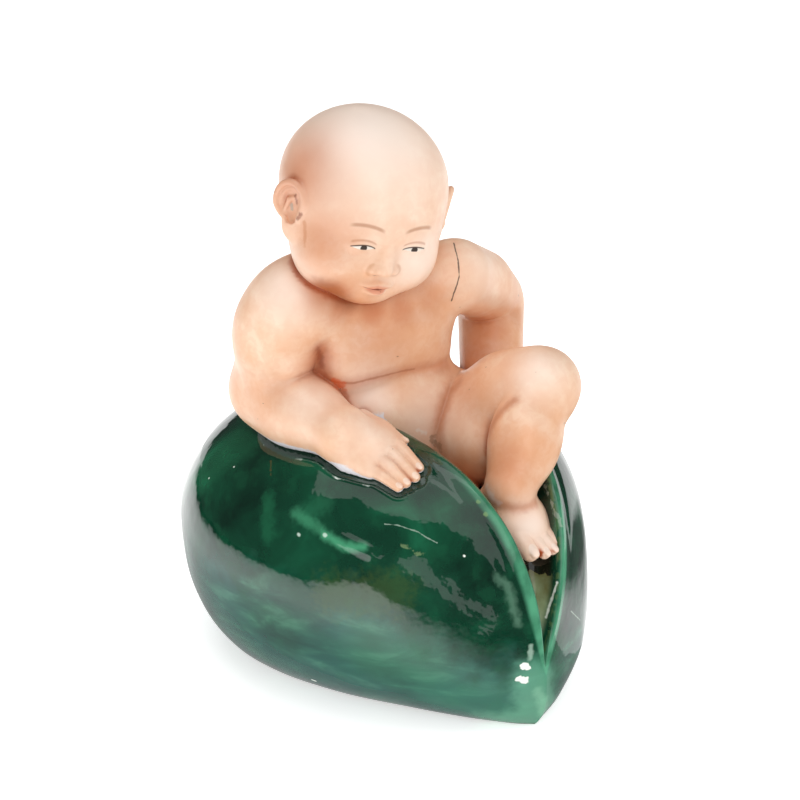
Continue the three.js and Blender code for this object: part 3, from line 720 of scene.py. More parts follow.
# Marks on the glaze, some of them painted highlights, in mm: colour, half width, soft edge, raggedness,
# strength, and the strokes
glazeMarksAndHighlights = [
    ("#0E3B29", 6.0, 12.0, 3.0, 0.55, [[(-62.8, -22.1, 65.8), (-62.5, -28.0, 56.0)],
                                       [(-56.9, -15.0, 81.1), (-48.5, -30.5, 80.0)]]),
    ("#14402E", 5.0, 9.0, 3.0, 0.45, [[(-44.5, -52.5, 62.0), (-35.0, -60.5, 58.0)]]),
    ("#2F8059", 5.0, 8.0, 3.0, 0.20, [[(-57.7, 39.8, 76.6), (-53.4, 35.5, 82.6), (-48.5, 30.2, 87.5)]]),
    ("#2C8058", 0.3, 4.5, 1.2, 0.24, [[(-60.0, -0.5, 81.3), (-65.6, -7.4, 70.9)]]),
    ("#3C9068", 0.6, 6.0, 1.4, 0.20, [[(-56.5, -18.0, 80.1), (-53.5, -20.0, 82.8), (-51.4, -21.3, 84.4)]]),
    ("#465A2C", 3.0, 9.0, 3.0, 0.35, [[(-58.2, -35.7, 55.7), (-51.7, -44.6, 56.3), (-44.5, -52.5, 59.1)]]),
    # painted highlights along the run of thick glaze
    ("#4FA67B", 0.1, 3.4, 0.5, 0.38, [[(-58.2, -13.9, 79.9), (-57.2, -18.9, 78.7), (-55.9, -24.4, 77.1)]]),
    ("#4FA67B", 0.1, 3.0, 0.4, 0.72, [[(-55.5, -27.3, 75.6), (-52.7, -35.9, 73.2), (-49.2, -41.1, 74.1)]]),
    # a painted glint on the run of thick glaze, and a small pale spot beside it
    ("#D5EBDD", 0.3, 0.7, 0.2, 0.70, [[(-55.5, -27.3, 75.6), (-55.2, -27.6, 75.4)],
                                      [(-60.5, -18.6, 73.9), (-60.4, -18.8, 73.7)]]),
    ("#B9C9BD", 0.2, 0.5, 0.4, 0.60, [[(-40.8, 30.5, 90.5), (-42.6, 27.0, 90.5), (-43.9, 23.4, 90.6),
                                       (-46.4, 17.9, 90.6)]]),
    ("#A9BFAF", 0.05, 0.25, 0.22, 0.60, [[(-41.2, -43.6, 81.5), (-38.4, -46.9, 81.5), (-35.9, -50.6, 80.6),
                                          (-33.9, -53.4, 79.8), (-32.5, -55.8, 78.3), (-30.3, -59.2, 76.6)]]),
    ("#A5BD86", 0.1, 0.7, 0.9, 0.30, [[(-39.6, -50.6, 75.4), (-37.6, -53.6, 74.0), (-35.5, -56.6, 72.5)]]),
    ("#5B4A2A", 0.08, 0.4, 0.3, 0.55, [[(-50.9, 9.2, 89.6), (-54.7, 4.5, 86.9)]]),
    # a painted highlight along the near lip towards the tip
    ("#7FAE93", 0.1, 2.6, 0.7, 0.30, [[(-16.2, -75.5, 64.8), (-13.3, -78.1, 61.3), (-12.6, -79.5, 56.0),
                                       (-12.1, -80.2, 51.7), (-10.9, -81.1, 46.7)]]),
    ("#B9D6C3", 0.2, 1.4, 0.5, 0.50, [[(-6.4, -83.3, 36.7), (-6.3, -83.2, 31.7)]]),
    ("#8FB068", 0.3, 0.7, 0.4, 0.40, [[(-13.1, -61.4, 88.4), (-13.0, -61.7, 88.2)],
                                      [(-12.9, -65.5, 84.8), (-12.8, -65.8, 84.6)]]),
    ("#C9CDBD", 0.08, 0.8, 0.9, 0.30, [[(20.6, -59.5, 83.4), (18.8, -63.9, 81.1), (16.8, -69.4, 77.4),
                                        (16.0, -73.8, 73.7)]]),
    # a painted highlight on the inner wall of the far half near the tip
    ("#E9EFE4", 0.10, 0.6, 0.3, 0.75, [[(7.3, -81.4, 56.7), (5.3, -81.1, 51.2), (3.1, -80.6, 44.0)]]),
    ("#B9CDBD", 0.1, 0.2, 0.1, 0.50, [[(16.5, -79.4, 41.2), (21.2, -77.0, 36.5), (25.3, -74.9, 32.5)]]),
    ("#3F8567", 4.0, 13.0, 3.0, 0.30, [[(-16.9, -76.2, 11.9), (-25.0, -71.7, 16.3), (-33.6, -65.2, 20.7)],
                                       [(-42.0, -58.4, 33.0), (-51.4, -47.4, 36.0)]]),
    # painted highlights low on the tip
    ("#74BA98", 4.0, 10.0, 3.0, 0.46, [[(-4.5, -83.9, 22.0), (-1.5, -84.4, 6.1), (-10.0, -76.0, 4.0)]]),
    ("#8FC7A6", 0.3, 3.2, 0.6, 0.35, [[(-3.3, -84.0, 16.9), (-1.5, -84.4, 13.1), (0.4, -83.4, 6.5)]]),
]
# Bare white porcelain where the glaze broke off: half width, raggedness, and the strokes
glazeChips = [
    (0.9, 0.6, [[(-8.8, -82.1, 29.0), (-7.2, -82.8, 27.8)], [(-10.2, -81.5, 23.9), (-7.8, -82.6, 22.6)]]),
    (0.5, 0.3, [[(-54.7, -18.5, 12.1), (-54.5, -19.2, 11.8)]]),
    (0.08, 0.1, [[(-56.5, 24.1, 83.4), (-56.4, 24.0, 83.3)], [(-60.4, 34.4, 76.2), (-60.3, 34.3, 76.1)],
                [(-24.3, -66.9, 72.5), (-24.2, -67.0, 72.4)]]),
]


# Noises on a piece: each is the size of its blotches in mm, its detail and its distortion
def noises(tree, place, kinds):
    return [add(tree, "TexNoise", {"Vector": place, "Scale": 1 / (size * mm), "Detail": detail,
                                   "Distortion": twist}) for size, detail, twist in kinds]


# The glaze: its colours by the noise they start at, above, in the paler zone low down, partly a painted
# reflection of the lit table, and on the inner wall, with painted shadow and light, the painted highlights on
# the lip's crest and on the bead by the arm, how glossy it is whole and where it broke off, and the size in
# mm and strength of its ripples
glaze = {
    "upper": [(0.30, "#082319"), (0.48, "#0D3726"), (0.60, "#10452F"), (0.72, "#175B3F"),
              (0.86, "#2F8460")],
    "lower": [(0.30, "#1B4238"), (0.46, "#224F42"), (0.56, "#2B5D4B"), (0.72, "#477F66")],
    "wall": [(0.55, "#B7C9B2"), (0.84, "#94A27A"), (1.0, "#6E6A40"), (1.0, "#1E160E")],
    "teal": "#275E5A", "haze": "#25704C", "crestHighlight": "#529C78", "thick": "#0C2D1F", "beadHighlight": "#DCE6E0",
    "rim": "#93A860", "foot": "#22351F", "bare": "#EEF4EA",
    "roughness": 0.05, "bareRoughness": 0.45, "ior": 1.65, "rippleSize": 6, "ripple": 0.13,
}


# Emerald lead glaze over white porcelain, dipped and run in the kiln: a deep clear green that is
# cloudy where it lies thick or thin and paler low down, partly as a painted reflection of the lit table,
# with painted shadow and light on the inner wall and painted highlights on the lip, the bead by the arm,
# a run of thick glaze and the tip, a wet gloss, and bare white where it broke off
def emeraldGlaze():
    material, tree = newMaterial("emerald lead glaze")
    place = add(tree, "TexCoord", out="Object")
    x, y, z = add(tree, "SeparateXYZ", (place,)).node.outputs
    lip, gap = (add(tree, "Attribute", out="Fac", attribute_name=name) for name in ("lip", "gap"))
    fine, coarse, cloud, pale, ripple = noises(tree, place, [
        (2.2, 3, 0), (9, 4, 0), (26, 5, 0.8), (45, 2, 0), (glaze["rippleSize"], 2, 0)])
    upper = add(tree, "ValToRGB", (cloud,), stops=glaze["upper"])
    # low down the glaze is paler and teal, partly its own tone and partly a painted reflection of the lit
    # table; there the clouds lie flatter, and a noise moves their upper edge, which falls away at the tip
    flat = add(tree, "VectorMath", (place, (1, 1, 3.2)), operation="MULTIPLY")
    lower = add(tree, "ValToRGB", noises(tree, flat, [(20, 5, 0.5)]), stops=glaze["lower"])
    lower = layered(tree, lower, [(glaze["teal"], 0.45, [(pale, 0.40, 0.62)])])
    tip = within(tree, [(y, -0.082, -0.040)])
    height = add(tree, "Math", (tip, 0.026, wander(tree, z, coarse, 0.03)), operation="MULTIPLY_ADD")
    # along the arm and the hand it is thick and dark, with a thin white painted highlight along the bead
    # where the thick glaze stops
    above = [(lip, 0.0, -1.0), (x, -0.020, -0.014), (z, 0.078, 0.070)]
    wavy = wander(tree, gap, fine, 1.2)
    # the inner wall has a painted shadow under the boy's foot, is browned lower down, and is pale grey-green
    # at the bottom as painted light reflected into the cleft
    depth = add(tree, "Math", (coarse, 0.5), operation="MULTIPLY")
    depth = add(tree, "Math", (z, 13, depth), operation="MULTIPLY_ADD")
    wall = add(tree, "ValToRGB", (depth,), stops=glaze["wall"])
    base = layered(tree, upper, [
        (lower, 1, [(height, 0.044, 0.064)]),
        (glaze["haze"], 0.14, [(coarse, 0.66, 0.50)]),
        # a painted highlight along the crest of the rolled lip
        (glaze["crestHighlight"], 1, [(lip, 0.8, 0.8, 3.4), (y, -0.078, -0.030), (coarse, 0.35, 0.95)]),
        (glaze["thick"], 1, above + [(wavy, 1.6, 2.8)]),
        # a painted highlight along the bead of glaze beside the arm and hand
        (glaze["beadHighlight"], 1, above + [(wavy, 2.9, 0.10, 0.50), (y, -0.006, 0.002), (y, -0.036, -0.044),
                                    (x, -0.033, -0.029), (coarse, 0.60, 0.52)]),
        (wall, 0.85, [(lip, -7.0, -3.5), (y, -0.070, -0.058)]),
        (glaze["rim"], 0.15, [(lip, -2.2, 0.3, 1.2), (y, -0.052, -0.040), (fine, 0.55, 0.40)]),
        (glaze["foot"], 1, [(z, 0.0009, 0.0018)]),
    ])
    for code, wide, soft, ragged, strength, chains in glazeMarksAndHighlights:
        share = markShare(tree, place, coarse if wide > 3 else fine, wide, soft, ragged, chains)
        base = layered(tree, base, [(code, strength, share)])
    bare = 0
    for wide, ragged, chains in glazeChips:
        chip = markShare(tree, place, fine, wide, 0.5, ragged, chains)
        bare = add(tree, "Math", (bare, chip), operation="MAXIMUM")
    base = layered(tree, base, [(glaze["bare"], 1, bare)])
    roughness = add(tree, "MapRange", (bare, 0, 1, glaze["roughness"], glaze["bareRoughness"]))
    bump = add(tree, "Bump", {"Height": ripple, "Strength": glaze["ripple"], "Distance": mm})
    shader = add(tree, "BsdfPrincipled", {"Base Color": base, "Roughness": roughness, "IOR": glaze["ior"],
                                          "Normal": bump})
    add(tree, "OutputMaterial", (shader,))
    return material


# Marks on the flesh enamel, as on the glaze, many of them folds and creases whose brushed orange is
# deepened as painted shade; two folds are painted twice, soft and then thin
bellyFold = [(-29.7, 4.5, 118.5), (-28.1, 1.9, 117.3), (-25.6, -0.8, 116.8), (-22.3, -3.5, 116.7),
             (-18.6, -5.8, 117.6), (-14.4, -7.6, 118.2), (-9.7, -8.8, 118.4), (-4.6, -9.4, 118.3),
             (1.0, -9.5, 117.5), (6.9, -9.3, 116.6), (13.7, -8.2, 114.6), (19.1, -6.4, 112.8)]
armpit = [(-33.0, 3.7, 131.0), (-32.0, 4.3, 129.1), (-30.3, 5.4, 125.5), (-30.0, 5.2, 122.7),
          (-29.7, 4.5, 120.5)]
fleshMarksAndShade = [
    # folds and creases at the belly, armpit, jaw, thigh, knee and ankle: brushed orange deepened as painted
    # shade
    ("#B5541F", 0.10, 4.5, 0.4, 0.38, [bellyFold]),
    ("#A04A1C", 0.05, 0.8, 0.15, 0.50, [bellyFold[:9]]),
    ("#9A3F17", 0.10, 6.0, 0.5, 0.50, [armpit]),
    ("#7E2F12", 0.10, 1.8, 0.5, 0.50, [armpit[:4]]),
    ("#8A451E", 0.30, 6.5, 0.5, 0.55, [[(-36.5, -4.1, 159.7), (-35.0, -6.1, 158.7), (-29.3, -5.7, 153.1),
                                        (-22.9, -3.0, 149.2)]]),
    ("#B5622F", 0.10, 4.5, 0.5, 0.45, [[(16.7, -16.0, 109.2), (13.8, -14.8, 106.4), (10.6, -15.8, 104.5),
                                        (8.2, -17.0, 102.0), (6.4, -17.9, 98.8), (5.0, -19.6, 95.4),
                                        (3.8, -21.5, 91.6), (3.5, -23.1, 87.8)]]),
    ("#B0582A", 0.10, 3.6, 0.4, 0.50, [[(15.8, -47.6, 113.9), (13.3, -46.1, 111.7), (11.4, -44.6, 109.0),
                                        (9.8, -43.7, 105.9), (8.7, -42.8, 102.4)]]),
    ("#B9653A", 0.10, 3.2, 0.4, 0.50, [[(-2.1, -59.2, 83.2), (-0.5, -61.7, 82.5), (2.3, -64.0, 81.6),
                                        (5.8, -65.4, 81.4), (11.2, -64.8, 81.1)]]),
    ("#F7F2EE", 0.3, 1.6, 0.9, 0.28, [[(-2.1, -53.2, 87.3), (-2.8, -56.1, 85.4), (-2.5, -58.1, 84.1),
                                       (-1.9, -59.6, 83.3)]]),
    ("#F8EEE4", 0.3, 0.9, 0.5, 0.45, [[(-3.0, -16.7, 96.8), (0.2, -17.4, 94.9)]]),
    ("#6A4A33", 0.5, 1.6, 1.4, 0.45, [[(2.9, -17.6, 91.3), (3.9, -18.7, 89.7), (3.6, -21.3, 89.2)]]),
    # orange brushed into the crease between arm and belly, deepened as painted shade
    ("#D9581F", 0.6, 1.6, 1.0, 0.60, [[(-27.6, 1.3, 117.4), (-25.2, -0.8, 115.0)]]),
    ("#3A2216", 0.13, 0.22, 0.12, 0.85, [[(27.0, -1.1, 157.5), (24.7, -4.9, 156.2), (23.3, -7.8, 154.1),
                                          (22.1, -9.7, 151.7), (21.2, -11.0, 149.1), (19.7, -11.5, 146.3),
                                          (18.3, -11.4, 143.4), (17.6, -11.0, 140.4)]]),
    # the groove between ear and cheek, brushed brown and deepened as painted shade
    ("#C4794A", 0.15, 0.9, 0.4, 0.45, [[(-40.2, 1.7, 182.3), (-40.4, 0.9, 179.9), (-40.8, 0.4, 177.2),
                                       (-41.4, -0.3, 174.2)]]),
    ("#7E2F16", 0.2, 0.9, 0.5, 0.65, [[(-40.0, 6.8, 190.5), (-39.8, 6.0, 188.0)],
                                      [(-40.8, 3.1, 185.0), (-41.1, 3.8, 183.2)]]),
    ("#8E9186", 0.3, 0.7, 0.3, 0.60, [[(-40.0, 8.6, 186.6), (-40.2, 8.4, 184.9)]]),
]
# The enamel: its mottled tone by the noise each colour starts at, the tones worked over it, among them
# a painted highlight and orange and brown brushed into hollows and folds and deepened as painted shade,
# its gloss
enamel = {
    "tone": [(0.35, "#EBB892"), (0.50, "#EFC3A1"), (0.65, "#F3CFB1")],
    "blotch": "#E7AE84", "mottle": "#E2A278", "high": "#FDEBDD", "hollowTintAndShade": "#D08652", "blushAndShade": "#C36B36",
    "foldTintAndShade": "#AE5125", "crease": "#5E2C14", "nail": "#FBEDE2", "speck": "#7A4A30", "margin": "#ECE6EA",
    "glazeEdge": "#1D3B2C", "roughness": 0.34, "ior": 1.6,
}


# The painted face, as layers. Its places are in mm from the middle of the skull, x to the boy's right,
# y forward and z up, and its lines are parabolas: z plus a bend times the square of a distance across
def faceLayers(tree):
    skull = add(tree, "Attribute", out="Vector", attribute_name="face")
    x, y, z = add(tree, "SeparateXYZ", (skull,)).node.outputs
    aside = add(tree, "Math", (x,), operation="ABSOLUTE")
    fromEye = add(tree, "Math", (aside, 10), operation="SUBTRACT")
    wide = add(tree, "Math", (x, x), operation="MULTIPLY")
    bow = add(tree, "Math", (fromEye, fromEye), operation="MULTIPLY")
    topLid, lowLid, brow, mouth, underNose = (
        add(tree, "Math", (squared, bend, z), operation="MULTIPLY_ADD")
        for squared, bend in ((bow, 0.058), (bow, -0.033), (bow, 0.035), (wide, -0.02), (wide, -0.05)))
    # squared distances from the middle of the iris, a nostril, a wing of the nose and the mouth
    spots = []
    for parts in (((aside, 10, 1), (z, -3.6, 1)), ((aside, 2.4, 1), (z, -14.3, 3)),
                  ((aside, 3.7, 1), (z, -12, 1)), ((aside, 0, 0.16), (mouth, -20.15, 1))):
        total = 0
        for value, middle, weight in parts:
            d = add(tree, "Math", (value, middle), operation="SUBTRACT")
            d = add(tree, "Math", (d, d), operation="MULTIPLY")
            total = add(tree, "Math", (d, weight, total), operation="MULTIPLY_ADD")
        spots.append(total)
    iris, nostril, wing, lips = spots
    front = [(y, 16, 14)]
    openEye = [(topLid, -2.57, -2.45), (lowLid, -4.13, -4.25)]
    layers = [
        # painted shade on the sides of the nose, round its wings and under it
        ("#CF9268", 0.26, [(aside, 3.3, 0.1, 2.8), (z, -9, -2), (z, -10.5, -13)]),    # sides of the nose
        ("#C07F52", 0.42, [(wing, 6.8, 0.4, 5.5), (aside, 5.2, 3.6)]),
        ("#B06C44", 0.40, [(underNose, -14.5, 0.1, 0.8), (aside, 3.4, 5.0)]),
        ("#D9805F", 0.65, [(lips, 1.6, 4.4)]),
        ("#8A3B22", 0.85, [(mouth, -20.15, 0.1, 0.45), (wide, 18, 34)]),
        ("#A5633A", 0.55, [(brow, 5.0, 0.2, 1.1), (bow, 16, 44)]),
        ("#B4683C", 0.45, [(topLid, -0.75, 0.05, 0.7), (bow, 16, 26)]),                # fold over the lid
        ("#8A3B22", 0.70, [(nostril, 0.3, 1.3)]),
        ("#EBE1D5", 0.95, openEye),
        ("#2A1A12", 0.95, openEye + [(iris, 1.32, 1.96)]),
        ("#3A2317", 0.90, [(topLid, -2.45, 0.10, 0.38), (bow, 19, 23)]),               # edge of the lid
    ]
    return [(code, strength, front + bands) for code, strength, bands in layers]


# Flesh enamel brushed over fired porcelain: a mottled peach tone with a soft gloss, orange-red worked
# into the folds and hollows and deepened there as painted shade, pale painted highlights, whitish nails,
# and bare porcelain where it stops above the glaze
def fleshEnamel():
    material, tree = newMaterial("flesh enamel on porcelain")
    place = add(tree, "TexCoord", out="Object")
    foldTintAndShade, hollowTintAndShade, blushAndShade, high, nail, edge = (
        add(tree, "Attribute", out="Fac", attribute_name=name)
        for name in ("foldTintAndShade", "hollowTintAndShade", "blushAndShade", "high", "nail", "edge"))
    fine, coarse, blotches, mottled, specks = noises(tree, place, [
        (2.0, 3, 0), (9, 4, 0), (25, 2, 0), (3.0, 6, 0.6), (1.4, 0, 0)])
    tone = add(tree, "ValToRGB", (coarse,), stops=enamel["tone"])
    brushed = add(tree, "Math", (coarse, 0.6, 0.7), operation="MULTIPLY_ADD")
    tone = layered(tree, tone, [
        (enamel["blotch"], 0.35, [(blotches, 0.60, 0.45)]),
        (enamel["mottle"], 0.22, [(mottled, 0.58, 0.44)]),
        # painted highlights where the light falls strongest
        (enamel["high"], 1, high),
        # the orange and brown below are brushed into hollows, folds and creases and deepened there as painted
        # shade
        (enamel["hollowTintAndShade"], 0.32, hollowTintAndShade),
        (enamel["blushAndShade"], brushed, blushAndShade),
        (enamel["foldTintAndShade"], brushed, [(foldTintAndShade, 0.85, 0.2)]),
        (enamel["crease"], 1, [(foldTintAndShade, 1.0, 0.8)]),
        (enamel["nail"], 0.45, [(nail, -0.15, 0.10)]),
    ] + faceLayers(tree))
    for code, wide, soft, ragged, strength, chains in fleshMarksAndShade:
        share = markShare(tree, place, fine, wide, soft, ragged, chains)
        tone = layered(tree, tone, [(code, strength, share)])
    # specks of dirt in the enamel, and its white edge above the glaze of the near half
    edge = wander(tree, edge, fine, 2.0)
    tone = layered(tree, tone, [(enamel["speck"], 0.6, [(specks, 0.08, 0.12)]),
                                (enamel["margin"], 1, [(edge, 2.3, 3.1)]),
                                (enamel["glazeEdge"], 1, [(edge, 0.5, 0.8)])])
    shader = add(tree, "BsdfPrincipled", {"Base Color": tone, "Roughness": enamel["roughness"],
                                          "IOR": enamel["ior"]})
    add(tree, "OutputMaterial", (shader,))
    return material


# How much the boy's own forms shut a point of his skin in, 0 to 1: walking out from it by a distance,
# the nearest skin should be that far away, and is nearer where a fold or another limb closes in
def shutIn(p, out, distance):
    return np.clip(1 - wholeBoy(p + distance * out) / distance, 0, 1)


# The mesh of his skin: cell in mm and how often a bigger one is halved down to it, then rounds that
# split the edges longer than the finest where the skin bends by more than an angle
boyMesh = {"low": (-60, -84, 48), "high": (80, 52, 222), "cell": 1.15, "halvings": 3,
           "rounds": 2, "bend": math.radians(11), "finest": 0.45}


def boySkin():
    cell = boyMesh["cell"]
    points, faces = skinOver(wholeBoy, boyMesh["low"], boyMesh["high"], cell, boyMesh["halvings"])
    points, out = ontoSkin(wholeBoy, points, 2, cell)
    for _ in range(boyMesh["rounds"]):
        def bends(ends):
            a, b = ends.T
            length = np.linalg.norm(points[a] - points[b], axis=1)
            turn = np.arccos(np.clip((out[a] * out[b]).sum(1), -1, 1))
            return (turn > boyMesh["bend"]) & (length > boyMesh["finest"])
        ends, faces = splitEdges(points, faces, bends)
        new, newOut = ontoSkin(wholeBoy, points[ends].mean(1), 2, cell / 2)
        points, out = np.concatenate([points, new]), np.concatenate([out, newOut])
    return points, out, faces


peachPoints, peachFaces, peachTraits = peachSkin()
print("peach:", len(peachFaces), "triangles")
boyPoints, boyOut, boyFaces = boySkin()
print("boy:", len(boyFaces), "triangles")

# Orange brushed on by hand, laid on also as painted shade under the head, on the side of the head away
# from the light and in the crooks of the limbs: place, reach in mm, strength
brushworkAndShade = [
    ((46.7, 0.4, 116.7), 13, 0.52), ((59.2, 0.4, 119.4), 8, 0.45), ((40.3, -0.2, 110.6), 11, 0.52),
    ((-32.5, 4.0, 127.0), 8, 0.60), ((-33.5, -5.0, 156.0), 9, 0.95), ((-25.0, -4.0, 149.0), 9, 0.90),
    ((-15.0, -5.0, 143.4), 8, 0.75), ((-4.0, -8.5, 141.5), 9, 0.60), ((8.0, -8.0, 142.5), 9, 0.50),
    ((-11.7, -5.6, 140.0), 13, 0.35), ((5.5, -31.4, 84.0), 9, 0.75), ((10.5, -37.0, 84.0), 7, 0.5),
    ((9.0, -17.5, 101.0), 8, 0.30), ((-13.7, -7.9, 134.7), 15, 0.40), ((-36.6, 8.1, 199.0), 17, 0.66),
    ((-38.0, -6.0, 177.0), 13, 0.52), ((3.0, -57.0, 96.0), 12, 0.60), ((13.1, -26.8, 107.7), 12, 0.30),
    ((12.0, -61.0, 101.0), 11, 0.25), ((-51.0, 15.0, 112.0), 12, 0.20),
    ((9.0, -42.0, 100.0), 9, 0.40), ((1.0, -57.0, 84.0), 8, 0.25),
]
# Painted highlights: pale places, most of them high places, where the light falls strongest
highlightPlaces = [
    ((-14.0, -2.0, 213.0), 34, 1.00), ((-43.8, 6.6, 157.7), 15, 0.70), ((26.1, -47.2, 123.7), 13, 0.60),
    ((-31.4, -24.8, 107.7), 14, 0.40), ((6.0, -68.5, 75.0), 9, 0.85), ((32.4, -10.7, 151.6), 14, 0.45),
    ((-6.0, -20.0, 166.0), 14, 0.75), ((2.0, -17.0, 100.0), 14, 0.45), ((8.0, -73.0, 70.0), 9, 0.70),
    ((-19.0, -6.0, 111.5), 11, 0.80), ((-31.0, -31.0, 101.0), 10, 0.40), ((-40.0, -3.0, 115.0), 14, 0.50),
]


# The strongest of some places, each fading out with distance as a bell curve
def brushed(p, places):
    total = np.zeros(len(p))
    for place, reach, strength in places:
        total = np.maximum(total, strength * np.exp(-((p - point(*place)) ** 2).sum(1) / reach ** 2))
    return total


# Distance to the nail of the nearest finger or toe
def fromNail(p):
    nearest = np.full(len(p), 3.0)
    hands = [(finger, (-0.35, -0.3, 0.9)) for finger in boy["fingersR"]]
    hands += [(boy["thumbR"], (0.3, -0.2, 0.9))] + [(toe, (0, -0.5, 0.86)) for toe in boy["toesL"]]
    for (a, b, ra, rb), up in hands:
        along = unit(point(*b) - point(*a))
        axes = turned(along, up)
        plate = point(*b) + axes[:, 2] * rb * 0.72 + along * rb * 0.30
        nearest = np.minimum(nearest, egg(p, plate, (rb * 0.60, rb * 0.85, rb * 0.62), axes))
    return nearest


# Distance to the nearest point of a cloud, up to a reach: both are sorted into cells of that size
def fromCloud(p, cloud, reach):
    low = np.minimum(p.min(0), cloud.min(0)) - reach
    wide = (np.maximum(p.max(0), cloud.max(0)) - low) // reach + 2

    def key(q):
        return (q[:, 0] * wide[1] + q[:, 1]) * wide[2] + q[:, 2]

    home, cells = (p - low) // reach, key((cloud - low) // reach)
    order = np.argsort(cells, kind="stable")
    cells, cloud = cells[order], cloud[order]
    nearest = np.full(len(p), reach)
    for step in np.stack(np.meshgrid(*[(-1, 0, 1)] * 3), -1).reshape(-1, 3):
        first = np.searchsorted(cells, key(home + step), "left")
        count = np.searchsorted(cells, key(home + step), "right") - first
        for k in range(int(count.max())):
            rows = np.flatnonzero(count > k)
            d = np.linalg.norm(p[rows] - cloud[first[rows] + k], axis=1)
            nearest[rows] = np.minimum(nearest[rows], d)
    return nearest


# What the brush followed, in mm: how far out a fold and a hollow are felt, where orange is brushed in
# and deepened as painted shade, the face, whose features are painted by themselves, the hand, where it is
# lighter, and the bare margin beside the near half of the peach: its reach, where it is, and the factors
# on its distance along the forearm and at the fingers
brush = {
    "folds": (0.8, 1.6), "hollows": (3, 6), "face": (0, 26, -14), "faceRadii": (16, 12, 11),
    "calm": (0.8, 1.3), "hands": [((-29, -34, 98), 18, 0.4)], "marginReach": 7.0, "marginTop": 112,
    "marginSide": -14, "onForearm": 0.62, "onFingers": 1.72, "fingersFrom": (-22, -33),
}
faceAway = np.linalg.norm((headPlace(boyPoints) - point(*brush["face"])) / point(*brush["faceRadii"]), axis=1)
calm = easeIn(faceAway, *brush["calm"])
# how shut in each point is: orange is brushed in there and deepened as painted shade in the folds and hollows
foldTintAndShade, widerFold = (shutIn(boyPoints, boyOut, distance) for distance in brush["folds"])
foldTintAndShade = np.maximum(foldTintAndShade, 0.7 * widerFold) * calm * (1 - brushed(boyPoints, brush["hands"]))
hollowTintAndShade = sum(shutIn(boyPoints, boyOut, distance) / 2 for distance in brush["hollows"]) * calm
x, y, z = boyPoints.T
beside = (z < brush["marginTop"]) & (x < brush["marginSide"])
edge = np.full(len(boyPoints), brush["marginReach"])
edge[beside] = fromCloud(boyPoints[beside], peachPoints[peachTraits["gap"] > -0.6], brush["marginReach"])
edge *= brush["onForearm"] + (brush["onFingers"] - brush["onForearm"]) * easeIn(y, *brush["fingersFrom"])
boyTraits = {
    "foldTintAndShade": spread(foldTintAndShade, boyFaces, 1, 3), "hollowTintAndShade": spread(hollowTintAndShade, boyFaces, 0, 4),
    "blushAndShade": brushed(boyPoints, brushworkAndShade), "high": brushed(boyPoints, highlightPlaces),
    "nail": fromNail(boyPoints), "edge": edge, "face": headPlace(boyPoints),
}
print("traits of the skin done")

glazedPeach = makePiece("glazed_peach", peachPoints, peachFaces, peachTraits, emeraldGlaze())
enamelledBoy = makePiece("enamelled_boy", boyPoints, boyFaces, boyTraits, fleshEnamel())
for piece, slot in ((glazedPeach, "green_glaze"), (enamelledBoy, "flesh_enamel")):
    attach(piece, "root")
    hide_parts("boy_on_peach")
print("pieces made")


# The view, the floor and the light

# The camera: degrees from the peach's tip and above the table, metres from the target, and how much
# of the scene the picture takes in there
view = {"azimuth": -40, "elevation": 25, "distance": 1.2, "target": (0.0014, -0.00117, 0.102),
        "frameWidth": 0.2941}


# Puts an object at a place, with its own z axis pointing back, away from what it faces
def aimed(name, data, spot, right, back):
    item = bpy.data.objects.new(name, data)
    scene.collection.objects.link(item)
    up = np.cross(back, right)
    item.matrix_world = Matrix([(right[i], up[i], back[i], spot[i]) for i in range(3)] + [(0, 0, 0, 1)])
    return item


def makeCamera():
    turn, rise = math.radians(view["azimuth"]), math.radians(view["elevation"])
    back = point(math.sin(turn) * math.cos(rise), -math.cos(turn) * math.cos(rise), math.sin(rise))
    camera = bpy.data.cameras.new("camera")
    camera.lens = camera.sensor_width * view["distance"] / view["frameWidth"]
    camera.clip_end = 20
    spot = point(*view["target"]) + back * view["distance"]
    scene.camera = aimed("camera", camera, spot, point(math.cos(turn), math.sin(turn), 0), back)


def makeLight(name, where, aim, size, power):
    lamp = bpy.data.lights.new(name, "AREA")
    lamp.shape = "RECTANGLE"
    lamp.size, lamp.size_y = size
    lamp.energy = power
    back = unit(point(*where) - point(*aim))
    return aimed(name, lamp, where, unit(np.cross((0, 0, 1), back)), back)


def makeSheet(name, corners, faces, material):
    mesh = bpy.data.meshes.new(name)
    mesh.from_pydata(corners, [], faces)
    mesh.materials.append(material)
    sheet = bpy.data.objects.new(name, mesh)
    scene.collection.objects.link(sheet)
    return sheet


# A sheet that only shows in reflections
def makeReflection(name, corners, faces, strength):
    material, tree = newMaterial(name)
    shader = add(tree, "Emission", {"Color": (1, 1, 1, 1), "Strength": strength(tree)})
    add(tree, "OutputMaterial", (shader,))
    sheet = makeSheet(name, corners, faces, material)
    sheet.visible_camera = sheet.visible_diffuse = sheet.visible_shadow = False


